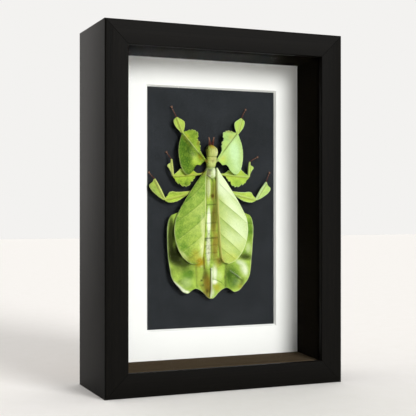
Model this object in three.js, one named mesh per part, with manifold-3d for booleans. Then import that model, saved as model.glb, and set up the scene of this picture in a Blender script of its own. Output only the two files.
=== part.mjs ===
// A giant leaf insect, wings closed and legs spread, mounted in a deep box frame.
// Millimetres, +Z up, front of the frame towards -Y, origin under the middle of the frame.

import * as THREE from 'three';
import { mergeVertices } from 'three/addons/utils/BufferGeometryUtils.js';
import Module from 'manifold-3d';

const wasm = await Module();
wasm.setup();

// Driving dimensions of the case. Depths are counted back from its front face.
const caseWidth = 163;
const caseHeight = 230;
const caseDepth = 59;
const faceWidth = 15;
const wallThickness = 11;
const lipThickness = 3.2;
const meetGap = 0.3;
const edgeEase = 1;
const innerEase = 0.6;
const spacerLean = 2;
const glassThickness = 2;
const matFront = 31;
const matThickness = 1.6;
const matBevel = 1.1;
const windowWidth = 93.2;
const windowHeight = 159.7;
const windowBottom = 35.6;
const windowShift = 1.9;
const boardThickness = 10;
const backThickness = 3;

// Driving dimensions of the insect. "Across" is counted from its midline, "along" from the tip of
// its tail towards the head, and "height" from the face of the board that it is mounted on.
const midlineX = -0.6;
const tailZ = 55.8;
const membrane = 0.5;
const shaftThickness = 1.5;
const shaftHalfWidth = 0.7;

// Depths that follow from those sizes
const glassFront = lipThickness + meetGap;
const spacerFront = glassFront + glassThickness + meetGap;
const spacerBack = matFront - meetGap;
const spacerInsideBack = faceWidth + spacerLean;
const boardFront = matFront + matThickness + meetGap;
const backFront = boardFront + boardThickness + meetGap;
const backRear = backFront + backThickness;
const insideWidth = caseWidth - 2 * (wallThickness + meetGap);
const insideHeight = caseHeight - 2 * (wallThickness + meetGap);

function fromFront(depth) {
  return depth - caseDepth / 2;
}

const group = new THREE.Group();
group.name = 'framed_leaf_insect';

function finish(color, roughness, metalness = 0) {
  return new THREE.MeshStandardMaterial({ color, roughness, metalness });
}

const finishes = {
  blackWood: finish(0x24231e, 0.45),
  glass: finish(0xe8eeee, 0.05),
  spacer: finish(0x3a2f24, 0.7),
  mat: finish(0xf7f6f2, 0.9),
  board: finish(0x33363a, 0.95),
  backBoard: finish(0x8a6a48, 0.85),
  steel: finish(0x9a9a98, 0.35, 0.9),
  abdomen: finish(0xa4c85a, 0.6),
  wing: finish(0xa6cc62, 0.55),
  thorax: finish(0xa8b85a, 0.6),
  leg: finish(0x9cc24e, 0.6),
  foot: finish(0x8a6a50, 0.6),
  eye: finish(0x5a3a1e, 0.25)
};

function addPart(name, geometry, material) {
  const mesh = new THREE.Mesh(geometry, material);
  mesh.name = name;
  group.add(mesh);
  return mesh;
}

// Closed surfaces. A list of points and triangles is turned so that its faces point out.
function enclosedVolume(points, triangles) {
  let volume = 0;
  for (const [a, b, c] of triangles) {
    volume += points[a].dot(points[b].clone().cross(points[c])) / 6;
  }
  return volume;
}

function closedBody(points, triangles) {
  const inward = enclosedVolume(points, triangles) < 0;
  const turned = triangles.map(([a, b, c]) => (inward ? [a, c, b] : [a, b, c]));
  const geometry = new THREE.BufferGeometry();
  const coordinates = points.flatMap((point) => [point.x, point.y, point.z]);
  geometry.setAttribute('position', new THREE.Float32BufferAttribute(coordinates, 3));
  geometry.setIndex(turned.flat());
  geometry.computeVertexNormals();
  return geometry;
}

// Rings with the same number of points are joined in order, and both ends are closed by fans.
function loft(rings) {
  const count = rings[0].length;
  const points = rings.flat();
  const triangles = [];
  for (let ring = 0; ring + 1 < rings.length; ring += 1) {
    for (let k = 0; k < count; k += 1) {
      const a = ring * count + k;
      const b = ring * count + ((k + 1) % count);
      triangles.push([a, b, b + count], [a, b + count, a + count]);
    }
  }
  for (const ring of [0, rings.length - 1]) {
    const centre = new THREE.Vector3();
    rings[ring].forEach((point) => centre.add(point));
    points.push(centre.divideScalar(count));
    for (let k = 0; k < count; k += 1) {
      const a = ring * count + k;
      const b = ring * count + ((k + 1) % count);
      const hub = points.length - 1;
      triangles.push(ring === 0 ? [b, a, hub] : [a, b, hub]);
    }
  }
  return closedBody(points, triangles);
}

// A thin sheet: each row holds points with an upper and a lower place, split alike on both faces.
function sheet(rows) {
  const across = rows[0].length;
  const size = rows.length * across;
  const upper = rows.flatMap((row) => row.map((point) => point.upper));
  const lower = rows.flatMap((row) => row.map((point) => point.lower));
  const triangles = [];
  for (let r = 0; r + 1 < rows.length; r += 1) {
    for (let c = 0; c + 1 < across; c += 1) {
      const a = r * across + c;
      const b = a + 1;
      const d = a + across;
      const e = d + 1;
      triangles.push([a, b, e], [a, e, d]);
      triangles.push([a + size, e + size, b + size], [a + size, d + size, e + size]);
    }
  }
  const rim = [];
  for (let c = 0; c < across; c += 1) rim.push(c);
  for (let r = 1; r < rows.length; r += 1) rim.push(r * across + across - 1);
  for (let c = across - 2; c >= 0; c -= 1) rim.push((rows.length - 1) * across + c);
  for (let r = rows.length - 2; r > 0; r -= 1) rim.push(r * across);
  rim.forEach((a, k) => {
    const b = rim[(k + 1) % rim.length];
    triangles.push([b, a, a + size], [b, a + size, b + size]);
  });
  return closedBody([...upper, ...lower], triangles);
}

// Joining and cutting
function toSolid(geometry) {
  const bare = new THREE.BufferGeometry();
  bare.setAttribute('position', geometry.getAttribute('position').clone());
  if (geometry.index) bare.setIndex(geometry.index.clone());
  const merged = mergeVertices(bare, 1e-4);
  const vertProperties = Float32Array.from(merged.getAttribute('position').array);
  const triVerts = Uint32Array.from(merged.index.array);
  return new wasm.Manifold(new wasm.Mesh({ numProp: 3, vertProperties, triVerts }));
}

function toGeometry(solid) {
  const whole = solid.decompose().sort((a, b) => b.volume() - a.volume())[0];
  const { vertProperties, triVerts } = whole.getMesh();
  const geometry = new THREE.BufferGeometry();
  geometry.setAttribute('position', new THREE.Float32BufferAttribute(vertProperties, 3));
  geometry.setIndex(Array.from(triVerts));
  geometry.computeVertexNormals();
  return geometry;
}

function joined(geometries) {
  return toGeometry(geometries.map(toSolid).reduce((whole, next) => whole.add(next)));
}

// A smooth value read from stops [place, value] that keeps to the steps between them
function readStops(stops, place) {
  const last = stops.length - 1;
  if (place <= stops[0][0]) return stops[0][1];
  if (place >= stops[last][0]) return stops[last][1];
  const k = stops.findIndex((stop) => stop[0] >= place) - 1;
  const slope = (i) => (stops[i + 1][1] - stops[i][1]) / (stops[i + 1][0] - stops[i][0]);
  const lean = (i) => {
    if (i === 0) return slope(0);
    if (i === last) return slope(last - 1);
    return slope(i - 1) * slope(i) <= 0 ? 0 : (2 * slope(i - 1) * slope(i)) / (slope(i - 1) + slope(i));
  };
  const run = stops[k + 1][0] - stops[k][0];
  const t = (place - stops[k][0]) / run;
  const from = stops[k][1] * (1 + 2 * t) * (1 - t) ** 2 + lean(k) * run * t * (1 - t) ** 2;
  const to = stops[k + 1][1] * t * t * (3 - 2 * t) - lean(k + 1) * run * t * t * (1 - t);
  return from + to;
}

function evenSteps(from, to, count) {
  return Array.from({ length: count + 1 }, (_, k) => from + ((to - from) * k) / count);
}

// The case: four mitred rails of one section, which runs [inset, depth] round the rail
const railSection = [
  [0, edgeEase],
  [edgeEase, 0],
  [faceWidth - innerEase, 0],
  [faceWidth, innerEase],
  [faceWidth, lipThickness],
  [wallThickness, lipThickness],
  [wallThickness, caseDepth],
  [0, caseDepth]
];
const spacerSection = [
  [wallThickness + meetGap, spacerFront],
  [faceWidth, spacerFront],
  [spacerInsideBack, spacerBack],
  [wallThickness + meetGap, spacerBack]
];
const mitreEase = meetGap / Math.SQRT2;

const sides = {
  bottom: { length: caseWidth, place: (s, inset, y) => new THREE.Vector3(s, y, inset) },
  top: { length: caseWidth, place: (s, inset, y) => new THREE.Vector3(s, y, caseHeight - inset) },
  left: {
    length: caseHeight,
    place: (s, inset, y) => new THREE.Vector3(inset - caseWidth / 2, y, s + caseHeight / 2)
  },
  right: {
    length: caseHeight,
    place: (s, inset, y) => new THREE.Vector3(caseWidth / 2 - inset, y, s + caseHeight / 2)
  }
};

// True where a section runs anticlockwise, so that its end faces match its sides
function runsAnticlockwise(outline) {
  return THREE.ShapeUtils.area(outline) > 0;
}

function mitredStrip(side, section) {
  const half = side.length / 2 - mitreEase;
  const outline = section.map(([inset, depth]) => new THREE.Vector2(inset, depth));
  const points = [-1, 1].flatMap((end) =>
    section.map(([inset, depth]) => side.place(end * (half - inset), inset, fromFront(depth)))
  );
  const count = section.length;
  const caps = THREE.ShapeUtils.triangulateShape(outline, []);
  const firstFace = runsAnticlockwise(outline);
  const triangles = caps.flatMap(([a, b, c]) => [
    firstFace ? [a, c, b] : [a, b, c],
    firstFace ? [a + count, b + count, c + count] : [a + count, c + count, b + count]
  ]);
  for (let k = 0; k < count; k += 1) {
    const next = (k + 1) % count;
    triangles.push([k, next, next + count], [k, next + count, k + count]);
  }
  return closedBody(points, triangles);
}

for (const [name, side] of Object.entries(sides)) {
  addPart(`rail_${name}`, mitredStrip(side, railSection), finishes.blackWood);
  addPart(`spacer_${name}`, mitredStrip(side, spacerSection), finishes.spacer);
}

function panel(width, thickness, height, frontDepth) {
  const geometry = new THREE.BoxGeometry(width, thickness, height);
  return geometry.translate(0, fromFront(frontDepth + thickness / 2), caseHeight / 2);
}

addPart('glass_pane', panel(insideWidth, glassThickness, insideHeight, glassFront), finishes.glass);

// The mat's window is bevelled, wider at the front than at the back
function matWithWindow() {
  const plate = toSolid(panel(insideWidth, matThickness, insideHeight, matFront));
  const reach = matThickness;
  const opening = [-reach, matThickness + reach].map((depth) => {
    const ease = (matBevel * depth) / matThickness;
    const halfWidth = windowWidth / 2 - ease;
    const low = windowBottom + ease;
    const high = windowBottom + windowHeight - ease;
    const y = fromFront(matFront + depth);
    return [
      [windowShift - halfWidth, low],
      [windowShift + halfWidth, low],
      [windowShift + halfWidth, high],
      [windowShift - halfWidth, high]
    ].map(([x, z]) => new THREE.Vector3(x, y, z));
  });
  return toGeometry(plate.subtract(toSolid(loft(opening))));
}

addPart('mat', matWithWindow(), finishes.mat);
addPart('mount_board', panel(insideWidth, boardThickness, insideHeight, boardFront), finishes.board);
addPart('back_panel', panel(insideWidth, backThickness, insideHeight, backFront), finishes.backBoard);

// Framer's points hold the back panel: small plates against the walls of the rear recess
const pointWidth = 8;
const pointReach = 14;
const pointThickness = 0.8;
const pointArcSteps = 8;
const pointHeights = [62, 168];

function framersPoint(x, z, turn) {
  const outline = new THREE.Shape();
  outline.moveTo(0, -pointWidth / 2);
  outline.lineTo(pointReach - pointWidth / 2, -pointWidth / 2);
  outline.absarc(pointReach - pointWidth / 2, 0, pointWidth / 2, -Math.PI / 2, Math.PI / 2, false);
  outline.lineTo(0, pointWidth / 2);
  const plate = new THREE.ExtrudeGeometry(outline, {
    depth: pointThickness,
    bevelEnabled: false,
    curveSegments: pointArcSteps
  });
  plate.rotateX(Math.PI / 2).rotateY(turn);
  return plate.translate(x, fromFront(backRear + meetGap) + pointThickness, z);
}

const pointX = caseWidth / 2 - wallThickness - meetGap;
const pointZ = wallThickness + meetGap;
const pointPlaces = [
  ...pointHeights.map((z) => [-pointX, z, 0]),
  ...pointHeights.map((z) => [pointX, z, Math.PI]),
  [0, pointZ, -Math.PI / 2],
  [0, caseHeight - pointZ, Math.PI / 2]
];
pointPlaces.forEach(([x, z, turn], k) => {
  addPart(`framers_point_${k + 1}`, framersPoint(x, z, turn), finishes.steel);
});

// A sawtooth hanger with two screw heads, on the back panel
const hanger = { width: 44, height: 9, thickness: 1, teeth: 7, toothPitch: 3.2, toothDepth: 1.8, z: 196 };
const screwHead = { topRadius: 1.6, rimRadius: 2.6, height: 1.4, proud: 0.5, inset: 4.5, sides: 12 };

function sawtoothHanger() {
  const halfWidth = hanger.width / 2;
  const halfHeight = hanger.height / 2;
  const outline = new THREE.Shape();
  outline.moveTo(-halfWidth, halfHeight);
  outline.lineTo(-halfWidth, -halfHeight);
  const firstTooth = (-hanger.teeth * hanger.toothPitch) / 2;
  for (let k = 0; k < hanger.teeth; k += 1) {
    const x = firstTooth + k * hanger.toothPitch;
    outline.lineTo(x, -halfHeight);
    outline.lineTo(x + hanger.toothPitch / 2, -halfHeight + hanger.toothDepth);
  }
  outline.lineTo(-firstTooth, -halfHeight);
  outline.lineTo(halfWidth, -halfHeight);
  outline.lineTo(halfWidth, halfHeight);
  const plate = new THREE.ExtrudeGeometry(outline, { depth: hanger.thickness, bevelEnabled: false });
  const heads = [-1, 1].map((side) => {
    const { topRadius, rimRadius, height, proud, inset, sides: count } = screwHead;
    const head = new THREE.CylinderGeometry(topRadius, rimRadius, height, count).rotateX(Math.PI / 2);
    return head.translate(side * (halfWidth - inset), 0, hanger.thickness + proud);
  });
  const whole = joined([plate, ...heads]);
  whole.rotateX(Math.PI / 2).rotateZ(Math.PI);
  return whole.translate(0, fromFront(backRear + meetGap), hanger.z);
}

addPart('hanger', sawtoothHanger(), finishes.steel);

// The insect
const boardY = fromFront(boardFront);

function spot(across, along, height) {
  return new THREE.Vector3(midlineX + across, boardY - height, tailZ + along);
}

function layered(across, along, top, bottom) {
  return { upper: spot(across, along, top), lower: spot(across, along, bottom) };
}

// The abdomen is a flat leaf with a fuller keel. Each row runs from the midline to the margin:
// [along at the midline, across at the margin, along at the margin].
const abdomenRows = [
  [65.6, 5.2, 65.4],
  [63.5, 9.5, 63.4],
  [61, 17, 60],
  [58.2, 24.8, 56.3],
  [56.3, 28, 55],
  [53.5, 29.7, 52.3],
  [50.3, 30.4, 49.4],
  [47, 30.8, 46.2],
  [43.2, 30.8, 42],
  [39.2, 30.6, 38],
  [35.2, 30.4, 33.6],
  [31.2, 30.1, 29],
  [27.4, 29.5, 24.4],
  [24, 28.9, 20],
  [21.2, 28.2, 15.8],
  [19.4, 26.6, 12.2],
  [18.3, 23.4, 8.5],
  [17.4, 19.8, 4.8],
  [16.5, 16.8, 3.9],
  [14.2, 14, 5.8],
  [11.6, 11, 6.9],
  [8.6, 8.3, 6],
  [5.4, 5.3, 3.8],
  [2.4, 2.7, 1],
  [0.2, 1.1, 0]
];
const abdomenColumns = [0, 0.06, 0.14, 0.25, 0.42, 0.62, 0.82, 1];
const abdomenPlane = 4.5;
const keelWidth = 3.4;
const bellyWidth = 7.5;
const keelRise = [[0, 0.2], [6, 0.9], [20, 1.3], [30, 0.9], [66, 0.9]];
const bellyDepth = [[0, 0.6], [6, 1.6], [16, 3], [34, 3.7], [66, 3.6]];
const tailLobe = { across: 19, along: 13, spread: 7.5, rise: 1.5 };
const flankLobe = { across: 27, along: 30, spread: 9, rise: 0.7 };

function lobeRise(lobe, across, along) {
  const distance = ((across - lobe.across) ** 2 + (along - lobe.along) ** 2) / lobe.spread ** 2;
  return lobe.rise * Math.exp(-distance);
}

function abdomenSheet() {
  const rows = abdomenRows.map(([middle, edge, edgeAlong]) => {
    const half = abdomenColumns.map((share) => {
      const across = edge * share;
      const along = middle + (edgeAlong - middle) * share;
      const plane = abdomenPlane + lobeRise(tailLobe, across, along) - lobeRise(flankLobe, across, along);
      const top = plane + readStops(keelRise, along) * Math.exp(-((across / keelWidth) ** 2));
      const full = readStops(bellyDepth, along) * Math.exp(-((across / bellyWidth) ** 2));
      return [across, along, top, plane - membrane - full];
    });
    const mirrored = half.slice(1).reverse().map(([x, z, top, bottom]) => layered(-x, z, top, bottom));
    return [...mirrored, ...half.map(([x, z, top, bottom]) => layered(x, z, top, bottom))];
  });
  return sheet(rows);
}

addPart('abdomen', abdomenSheet(), finishes.abdomen);

// Each closed fore wing is a domed sheet. Its rows run from the inner margin to the outer one and
// slant as the branch veins do, so that each vein is a raised row of the sheet itself.
const wingInner = [[24, 8], [27, 6.4], [35, 5.2], [47, 4.5], [59, 3.7], [72, 3.6], [84, 3.5], [86.2, 3.1]];
const wingOuter = [
  [22.8, 12.4],
  [23.6, 15],
  [26, 18.6],
  [29, 21.3],
  [33, 23.6],
  [40, 25.8],
  [45, 26.4],
  [48, 26.2],
  [52, 25.5],
  [57.5, 23.1],
  [64.3, 19.2],
  [70.9, 14.8],
  [77, 10.6],
  [81.5, 7.2],
  [86.4, 4.1]
];
const wingSlant = [[24, 22.8], [27, 23.4], [31, 24.6], [36, 26.3], [41.1, 28.5], [52.8, 36.5], [65.3, 48.8],
  [71.6, 54.6], [78, 62.5], [82, 71], [84.5, 79], [86.2, 86.4]];
const strongVeins = [77, 66, 54.4, 43.4, 33.6];
const faintVeins = [71.5, 60.2, 48.8, 38.4, 28.6];
const branchVeins = [...strongVeins, ...faintVeins].sort((a, b) => b - a);
const veinHalfWidth = 0.6;
const veinRise = 0.42;
const faintRise = 0.24;
const mainVeinShare = 0.09;
const wingRootRows = [86.2, 84.2, 81];
const wingTipRows = [27.2, 25.4, 24];
const domePeak = 0.8;
const veinFade = 0.3;
const wingColumns = [0, 0.045, mainVeinShare, 0.14, 0.24, 0.36, 0.5, 0.64, 0.78, 0.9, 1];
const wingFoot = 5.6;
const wingDome = [[22, 0.9], [34, 1.9], [58, 2.2], [76, 1.3], [86, 0.4]];

function wingRows() {
  const rows = wingRootRows.map((along) => ({ along, rise: 0 }));
  branchVeins.forEach((vein, k) => {
    rows.push({ along: vein + veinHalfWidth, rise: 0 });
    rows.push({ along: vein, rise: strongVeins.includes(vein) ? veinRise : faintRise });
    rows.push({ along: vein - veinHalfWidth, rise: 0 });
    const next = branchVeins[k + 1];
    if (next) rows.push({ along: (vein + next) / 2, rise: 0 });
  });
  return [...rows, ...wingTipRows.map((along) => ({ along, rise: 0 }))];
}

function wingSheet(side) {
  const rows = wingRows().map(({ along: inner, rise }) => {
    const outer = readStops(wingSlant, inner);
    const from = readStops(wingInner, inner);
    const to = readStops(wingOuter, outer);
    return wingColumns.map((share) => {
      const across = from + (to - from) * share;
      const along = inner + (outer - inner) * share;
      const dome = readStops(wingDome, along) * Math.sin(Math.PI * share ** domePeak);
      const height = wingFoot + dome;
      const vein = share === mainVeinShare ? veinRise : rise * Math.sin(Math.PI * share) ** veinFade;
      return layered(side * across, along, height + membrane / 2 + vein, height - membrane / 2);
    });
  });
  return sheet(rows);
}

addPart('fore_wing_left', wingSheet(-1), finishes.wing);
addPart('fore_wing_right', wingSheet(1), finishes.wing);

// A tapering rod of rings along a path of spots
function rod(path, radiusAt, sidesCount, ringCount) {
  const curve = new THREE.CatmullRomCurve3(path);
  const up = new THREE.Vector3(0, -1, 0);
  return loft(evenSteps(0, 1, ringCount).map((t) => {
    const centre = curve.getPointAt(t);
    const ahead = curve.getTangentAt(t);
    const sideways = ahead.clone().cross(up).normalize();
    const over = sideways.clone().cross(ahead).normalize();
    const radius = radiusAt(t);
    return evenSteps(0, 2 * Math.PI, sidesCount).slice(0, -1).map((angle) =>
      centre.clone()
        .addScaledVector(sideways, radius * Math.cos(angle))
        .addScaledVector(over, radius * Math.sin(angle))
    );
  }));
}

// Body lengths with a rounded section: [along, half width, bottom, top]
function bodyLoft(stations, sidesCount, fullness) {
  return loft(stations.map(([along, halfWidth, bottom, top]) => {
    const middle = (bottom + top) / 2;
    const halfHeight = (top - bottom) / 2;
    return evenSteps(0, 2 * Math.PI, sidesCount).slice(0, -1).map((angle) => {
      const c = Math.cos(angle);
      const s = Math.sin(angle);
      const across = Math.sign(c) * Math.abs(c) ** fullness * halfWidth;
      return spot(across, along, middle + Math.sign(s) * Math.abs(s) ** fullness * halfHeight);
    });
  }));
}

// Joints of each leg as [across, along, height]: the coxa, the knee, the ankle and the toe
const poses = {
  left: {
    fore: [[-4.5, 90.9, 5], [-20, 108.8, 4.2], [-23.7, 118.8, 3.1], [-26.4, 125.5, 1.2]],
    mid: [[-5.7, 82.4, 3.4], [-26.6, 80.5, 4], [-27.5, 91.6, 3.4], [-30, 96, 1.2]],
    hind: [[-5.8, 71.5, 3.3], [-32.2, 65.3, 4], [-39.1, 78.6, 3.6], [-42.1, 82.7, 1.4]]
  },
  right: {
    fore: [[4.5, 91.1, 5], [19.2, 109.1, 4.2], [22.5, 119.6, 3.1], [26.5, 125.7, 1.2]],
    mid: [[5.7, 82.4, 3.4], [27.5, 80.5, 4], [28.5, 90.8, 3.4], [35.3, 94.1, 1.2]],
    hind: [[5.8, 71.5, 3.3], [32.8, 65.4, 4], [40.8, 77.2, 3.6], [44.3, 83.6, 1.3]]
  }
};

// A coxa is a stub of the thorax that ends square to the femur, a gap short of it
const coxaRadius = 0.95;
const coxaSwell = 1.15;
const coxaTaper = 0.3;
const coxaStraight = 0.6;
const coxaSides = 8;
const coxaRings = 5;
const coxaRoots = { fore: [1.6, 89.4, 3.8], mid: [3, 83.2, 3], hind: [3, 72.2, 2.8] };

function coxae(legName) {
  return [['left', -1], ['right', 1]].map(([sideName, side]) => {
    const [coxa, knee] = poses[sideName][legName].map((place) => new THREE.Vector3(...place));
    const [rootAcross, rootAlong, rootHeight] = coxaRoots[legName];
    const ahead = knee.clone().sub(coxa).normalize();
    const end = coxa.clone().addScaledVector(ahead, -meetGap);
    const before = end.clone().addScaledVector(ahead, -coxaStraight);
    const root = new THREE.Vector3(side * rootAcross, rootAlong, rootHeight);
    const path = [root, before, end].map((point) => spot(point.x, point.y, point.z));
    return rod(path, (t) => coxaRadius * (coxaSwell - coxaTaper * t), coxaSides, coxaRings);
  });
}

const metathoraxSides = [
  [65.9, 4.6, 0.6, 4.4],
  [69, 4.8, 0.4, 4.7],
  [74, 4.8, 0.4, 4.8],
  [78.4, 4.3, 0.6, 4.8]
];
const metathoraxBack = [[65.9, 2.6, 3, 5.5], [70, 2.8, 3, 6.1], [75, 2.8, 3, 6.3], [78.4, 2.6, 3, 6]];
const mesothoraxSides = [
  [78.7, 4.3, 0.6, 4.8],
  [81.5, 4.7, 0.5, 4.9],
  [84.6, 4.4, 0.6, 4.9],
  [86.3, 3.4, 1, 4.7]
];
const mesothoraxBack = [
  [78.7, 2.5, 3, 6.1],
  [80.5, 3, 3, 6.9],
  [83, 3.1, 3, 7.3],
  [85.2, 3, 3, 7],
  [86.3, 2.6, 3, 6.4]
];
const prothoraxStations = [
  [86.6, 2.4, 1.8, 6],
  [88, 2.8, 1.5, 6.7],
  [90, 3.2, 1.4, 7],
  [92, 3.6, 1.6, 7],
  [93.4, 3.7, 2, 6.5]
];
const headStations = [
  [93.7, 3.4, 1.9, 6.4],
  [94.8, 3.7, 1.4, 7.1],
  [96.6, 3.8, 1, 7.5],
  [98.4, 3.6, 0.9, 7.2],
  [99.8, 2.9, 1, 6.5],
  [101, 1.9, 1.2, 5.7],
  [102, 1.1, 1.9, 4.7]
];
const bodySides = 16;
const roundSection = 0.8;

function bodyPart(...stationLists) {
  return stationLists.map((stations) => bodyLoft(stations, bodySides, roundSection));
}

const metathorax = joined([...bodyPart(metathoraxSides, metathoraxBack), ...coxae('hind')]);
const mesothorax = joined([...bodyPart(mesothoraxSides, mesothoraxBack), ...coxae('mid')]);
addPart('metathorax', metathorax, finishes.thorax);
addPart('mesothorax', mesothorax, finishes.thorax);
addPart('prothorax', joined([...bodyPart(prothoraxStations), ...coxae('fore')]), finishes.thorax);

// The head is turned a little to one side. Each eye sits in a socket cut in the side of the head.
const headShift = 0.6;
const eye = { across: 3, along: 98.9, height: 4.7, radii: [0.8, 1.05, 0.95], segments: 14, rings: 10 };

function eyeBall(side, growth) {
  const ball = new THREE.SphereGeometry(1, eye.segments, eye.rings);
  ball.scale(...eye.radii.map((radius) => radius + growth));
  const centre = spot(headShift + side * eye.across, eye.along, eye.height);
  return ball.translate(centre.x, centre.y, centre.z);
}

const skull = toSolid(bodyLoft(headStations, bodySides, roundSection).translate(headShift, 0, 0));
const socketed = skull.subtract(toSolid(eyeBall(-1, meetGap))).subtract(toSolid(eyeBall(1, meetGap)));
addPart('head', toGeometry(socketed), finishes.thorax);
addPart('eye_left', eyeBall(-1, 0), finishes.eye);
addPart('eye_right', eyeBall(1, 0), finishes.eye);

// Short antennae of beads, set on the front of the head
const antennaBeads = 8;
const antennaTips = { left: [-2.3, 106.2, 5.9], right: [1.5, 106.3, 5.9] };
const antennaRoot = { across: 1.05, along: 102.2, height: 5.2 };
const antennaBend = { across: 1.2, lean: 0.1, along: 104.2, height: 6 };
const antennaShape = { radius: 0.4, taper: 0.14, ripple: 0.07, sides: 6 };

function antenna(side, tip) {
  const root = spot(side * antennaRoot.across, antennaRoot.along, antennaRoot.height);
  const bendAcross = side * antennaBend.across + antennaBend.lean * tip[0];
  const middle = spot(bendAcross, antennaBend.along, antennaBend.height);
  const { radius, taper, ripple, sides: count } = antennaShape;
  const beads = (t) => radius - taper * t + ripple * Math.cos(2 * Math.PI * antennaBeads * t);
  return rod([root, middle, spot(...tip)], beads, count, antennaBeads * 2);
}

addPart('antenna_left', antenna(-1, antennaTips.left), finishes.foot);
addPart('antenna_right', antenna(1, antennaTips.right), finishes.foot);

// Legs. A lobe's stops are [distance along its shaft, width out from the shaft]; outer lobes face
// away from the head on the femora and away from the body on the tibiae.
const lobes = {
  fore: {
    femurOuter: [[0, 0.9], [1, 15.6], [2.6, 16.6], [5.5, 16.5], [8.5, 15.5], [11, 14.2], [14.5, 11.9],
      [17.2, 9.6], [20.4, 5.8], [22.2, 2.8], [23.3, 0.9]],
    femurInner: [[0, 0.9], [5.4, 1.5], [7.3, 2.2], [9.4, 4.2], [11.6, 5.4], [13.7, 5.5], [15, 7.4],
      [17.3, 8.5], [18.8, 8], [20.6, 6.8], [22, 4.6], [23.3, 0.9]],
    tibiaOuter: [[0, 0.8], [2.4, 1.9], [5, 3], [7.5, 3.3], [9.6, 2.8], [10.6, 0.8]],
    tibiaInner: [[0, 0.8], [1.1, 1.5], [2.6, 2.6], [4.4, 3.6], [6, 4], [7.8, 3.2], [10, 1.1], [10.6, 0.8]]
  },
  mid: {
    femurOuter: [[0, 0.9], [4, 1], [6.5, 3.4], [9, 5.8], [11, 7.4], [12.9, 8.1], [15, 7.7], [18, 6.3],
      [20, 4.8], [21.4, 2.6], [22.3, 0.9]],
    femurInner: [[0, 0.8], [4, 0.9], [6, 2.6], [8, 3.5], [12, 4.6], [16, 4.7], [18.5, 3], [20.6, 1.7],
      [22.3, 0.8]],
    tibiaOuter: [[0, 0.7], [2, 1.1], [4.5, 2.1], [6.4, 3.3], [7.2, 2.9], [8.4, 0.8], [10.4, 0.6]],
    tibiaInner: [[0, 0.7], [5, 0.8], [10.4, 0.6]]
  },
  hind: {
    femurOuter: [[0, 0.8], [10, 0.9], [13.6, 1.2], [16, 2], [18.5, 2.8], [21.9, 3.3], [24.9, 3.1],
      [27, 2.6], [28.4, 1.6], [29.2, 0.9]],
    femurInner: [[0, 0.8], [6, 1], [10.7, 1.8], [15.9, 2.4], [20, 3.2], [22.9, 4.1], [24.6, 4.1],
      [26, 3], [27.6, 1.6], [29.2, 0.9]],
    tibiaOuter: [[0, 1], [3, 2.9], [5.7, 4.2], [8.7, 5.3], [11, 5.6], [12.7, 5], [13.1, 2.4], [14.2, 0.7]],
    tibiaInner: [[0, 0.7], [7, 1], [14.2, 0.6]]
  }
};

const lobeLift = { fore: 0.06, mid: 0, hind: 0 };
const kneeRadius = 0.9;
const legRows = { femur: 22, tibia: 10 };
const toothDepth = { fore: 0.45, mid: 0.5, hind: 0.2 };
const toothedFrom = 2.2;
const lobeFullness = 1.1;
const shoulderFullness = 1.6;
const shoulderShare = 0.6;

// How far past the knee the tibia starts, so that its end clears the femur however it is bent
function kneeClearance(coxa, knee, ankle) {
  const femurLine = new THREE.Vector2(knee[0] - coxa[0], knee[1] - coxa[1]);
  const tibiaLine = new THREE.Vector2(ankle[0] - knee[0], ankle[1] - knee[1]);
  const bend = Math.acos(femurLine.dot(tibiaLine) / (femurLine.length() * tibiaLine.length()));
  const past = bend < 1 ? (meetGap + kneeRadius * Math.sin(bend)) / Math.cos(bend) : Infinity;
  return Math.min(past, kneeRadius + meetGap);
}

function toothed(width, notch) {
  return width > toothedFrom ? width - notch : width;
}

// One flat length of a leg: a thick shaft between two thin lobes with toothed margins
function legLeaf({ from, to, startClear, outer, inner, side, lift, tooth, rowCount }) {
  const run = new THREE.Vector2(to[0] - from[0], to[1] - from[1]);
  const length = run.length();
  const ahead = run.clone().normalize();
  const out = new THREE.Vector2(ahead.y, -ahead.x).multiplyScalar(side);
  const stretch = outer[outer.length - 1][0] / length;
  return sheet(evenSteps(startClear, length, rowCount).map((t, k) => {
    const notch = k % 2 ? tooth : 0;
    const outerWidth = toothed(readStops(outer, t * stretch), notch);
    const innerWidth = toothed(readStops(inner, t * stretch), notch);
    const shaftHeight = from[2] + ((to[2] - from[2]) * t) / length;
    const half = Math.min(shaftHalfWidth, outerWidth * shoulderShare, innerWidth * shoulderShare);
    const columns = [
      [-innerWidth, membrane],
      [-(innerWidth + half) / 2, membrane * lobeFullness],
      [-half, membrane * shoulderFullness],
      [0, shaftThickness],
      [half, membrane * shoulderFullness],
      [(outerWidth + half) / 2, membrane * lobeFullness],
      [outerWidth, membrane]
    ];
    return columns.map(([width, thickness]) => {
      const across = from[0] + ahead.x * t + out.x * width;
      const along = from[1] + ahead.y * t + out.y * width;
      const height = shaftHeight + Math.max(0, width) * lift;
      return layered(across, along, height + thickness / 2, height - thickness / 2);
    });
  }));
}

// Five joints of the foot, the last with two claws
const tarsusJoints = 5;
const tarsusRadius = 0.42;
const tarsusRipple = 0.09;
const tarsusTaper = 0.06;
const tarsusSag = 0.2;
const tarsusSides = 6;
// Places of a claw from the toe: on ahead, aside and up
const clawHook = [[-0.5, 0.1, 0], [0.3, 0.5, 0.1], [0.9, 0.75, -0.3]];
const clawShape = { radius: 0.26, taper: 0.14, sides: 5, rings: 3 };

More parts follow.
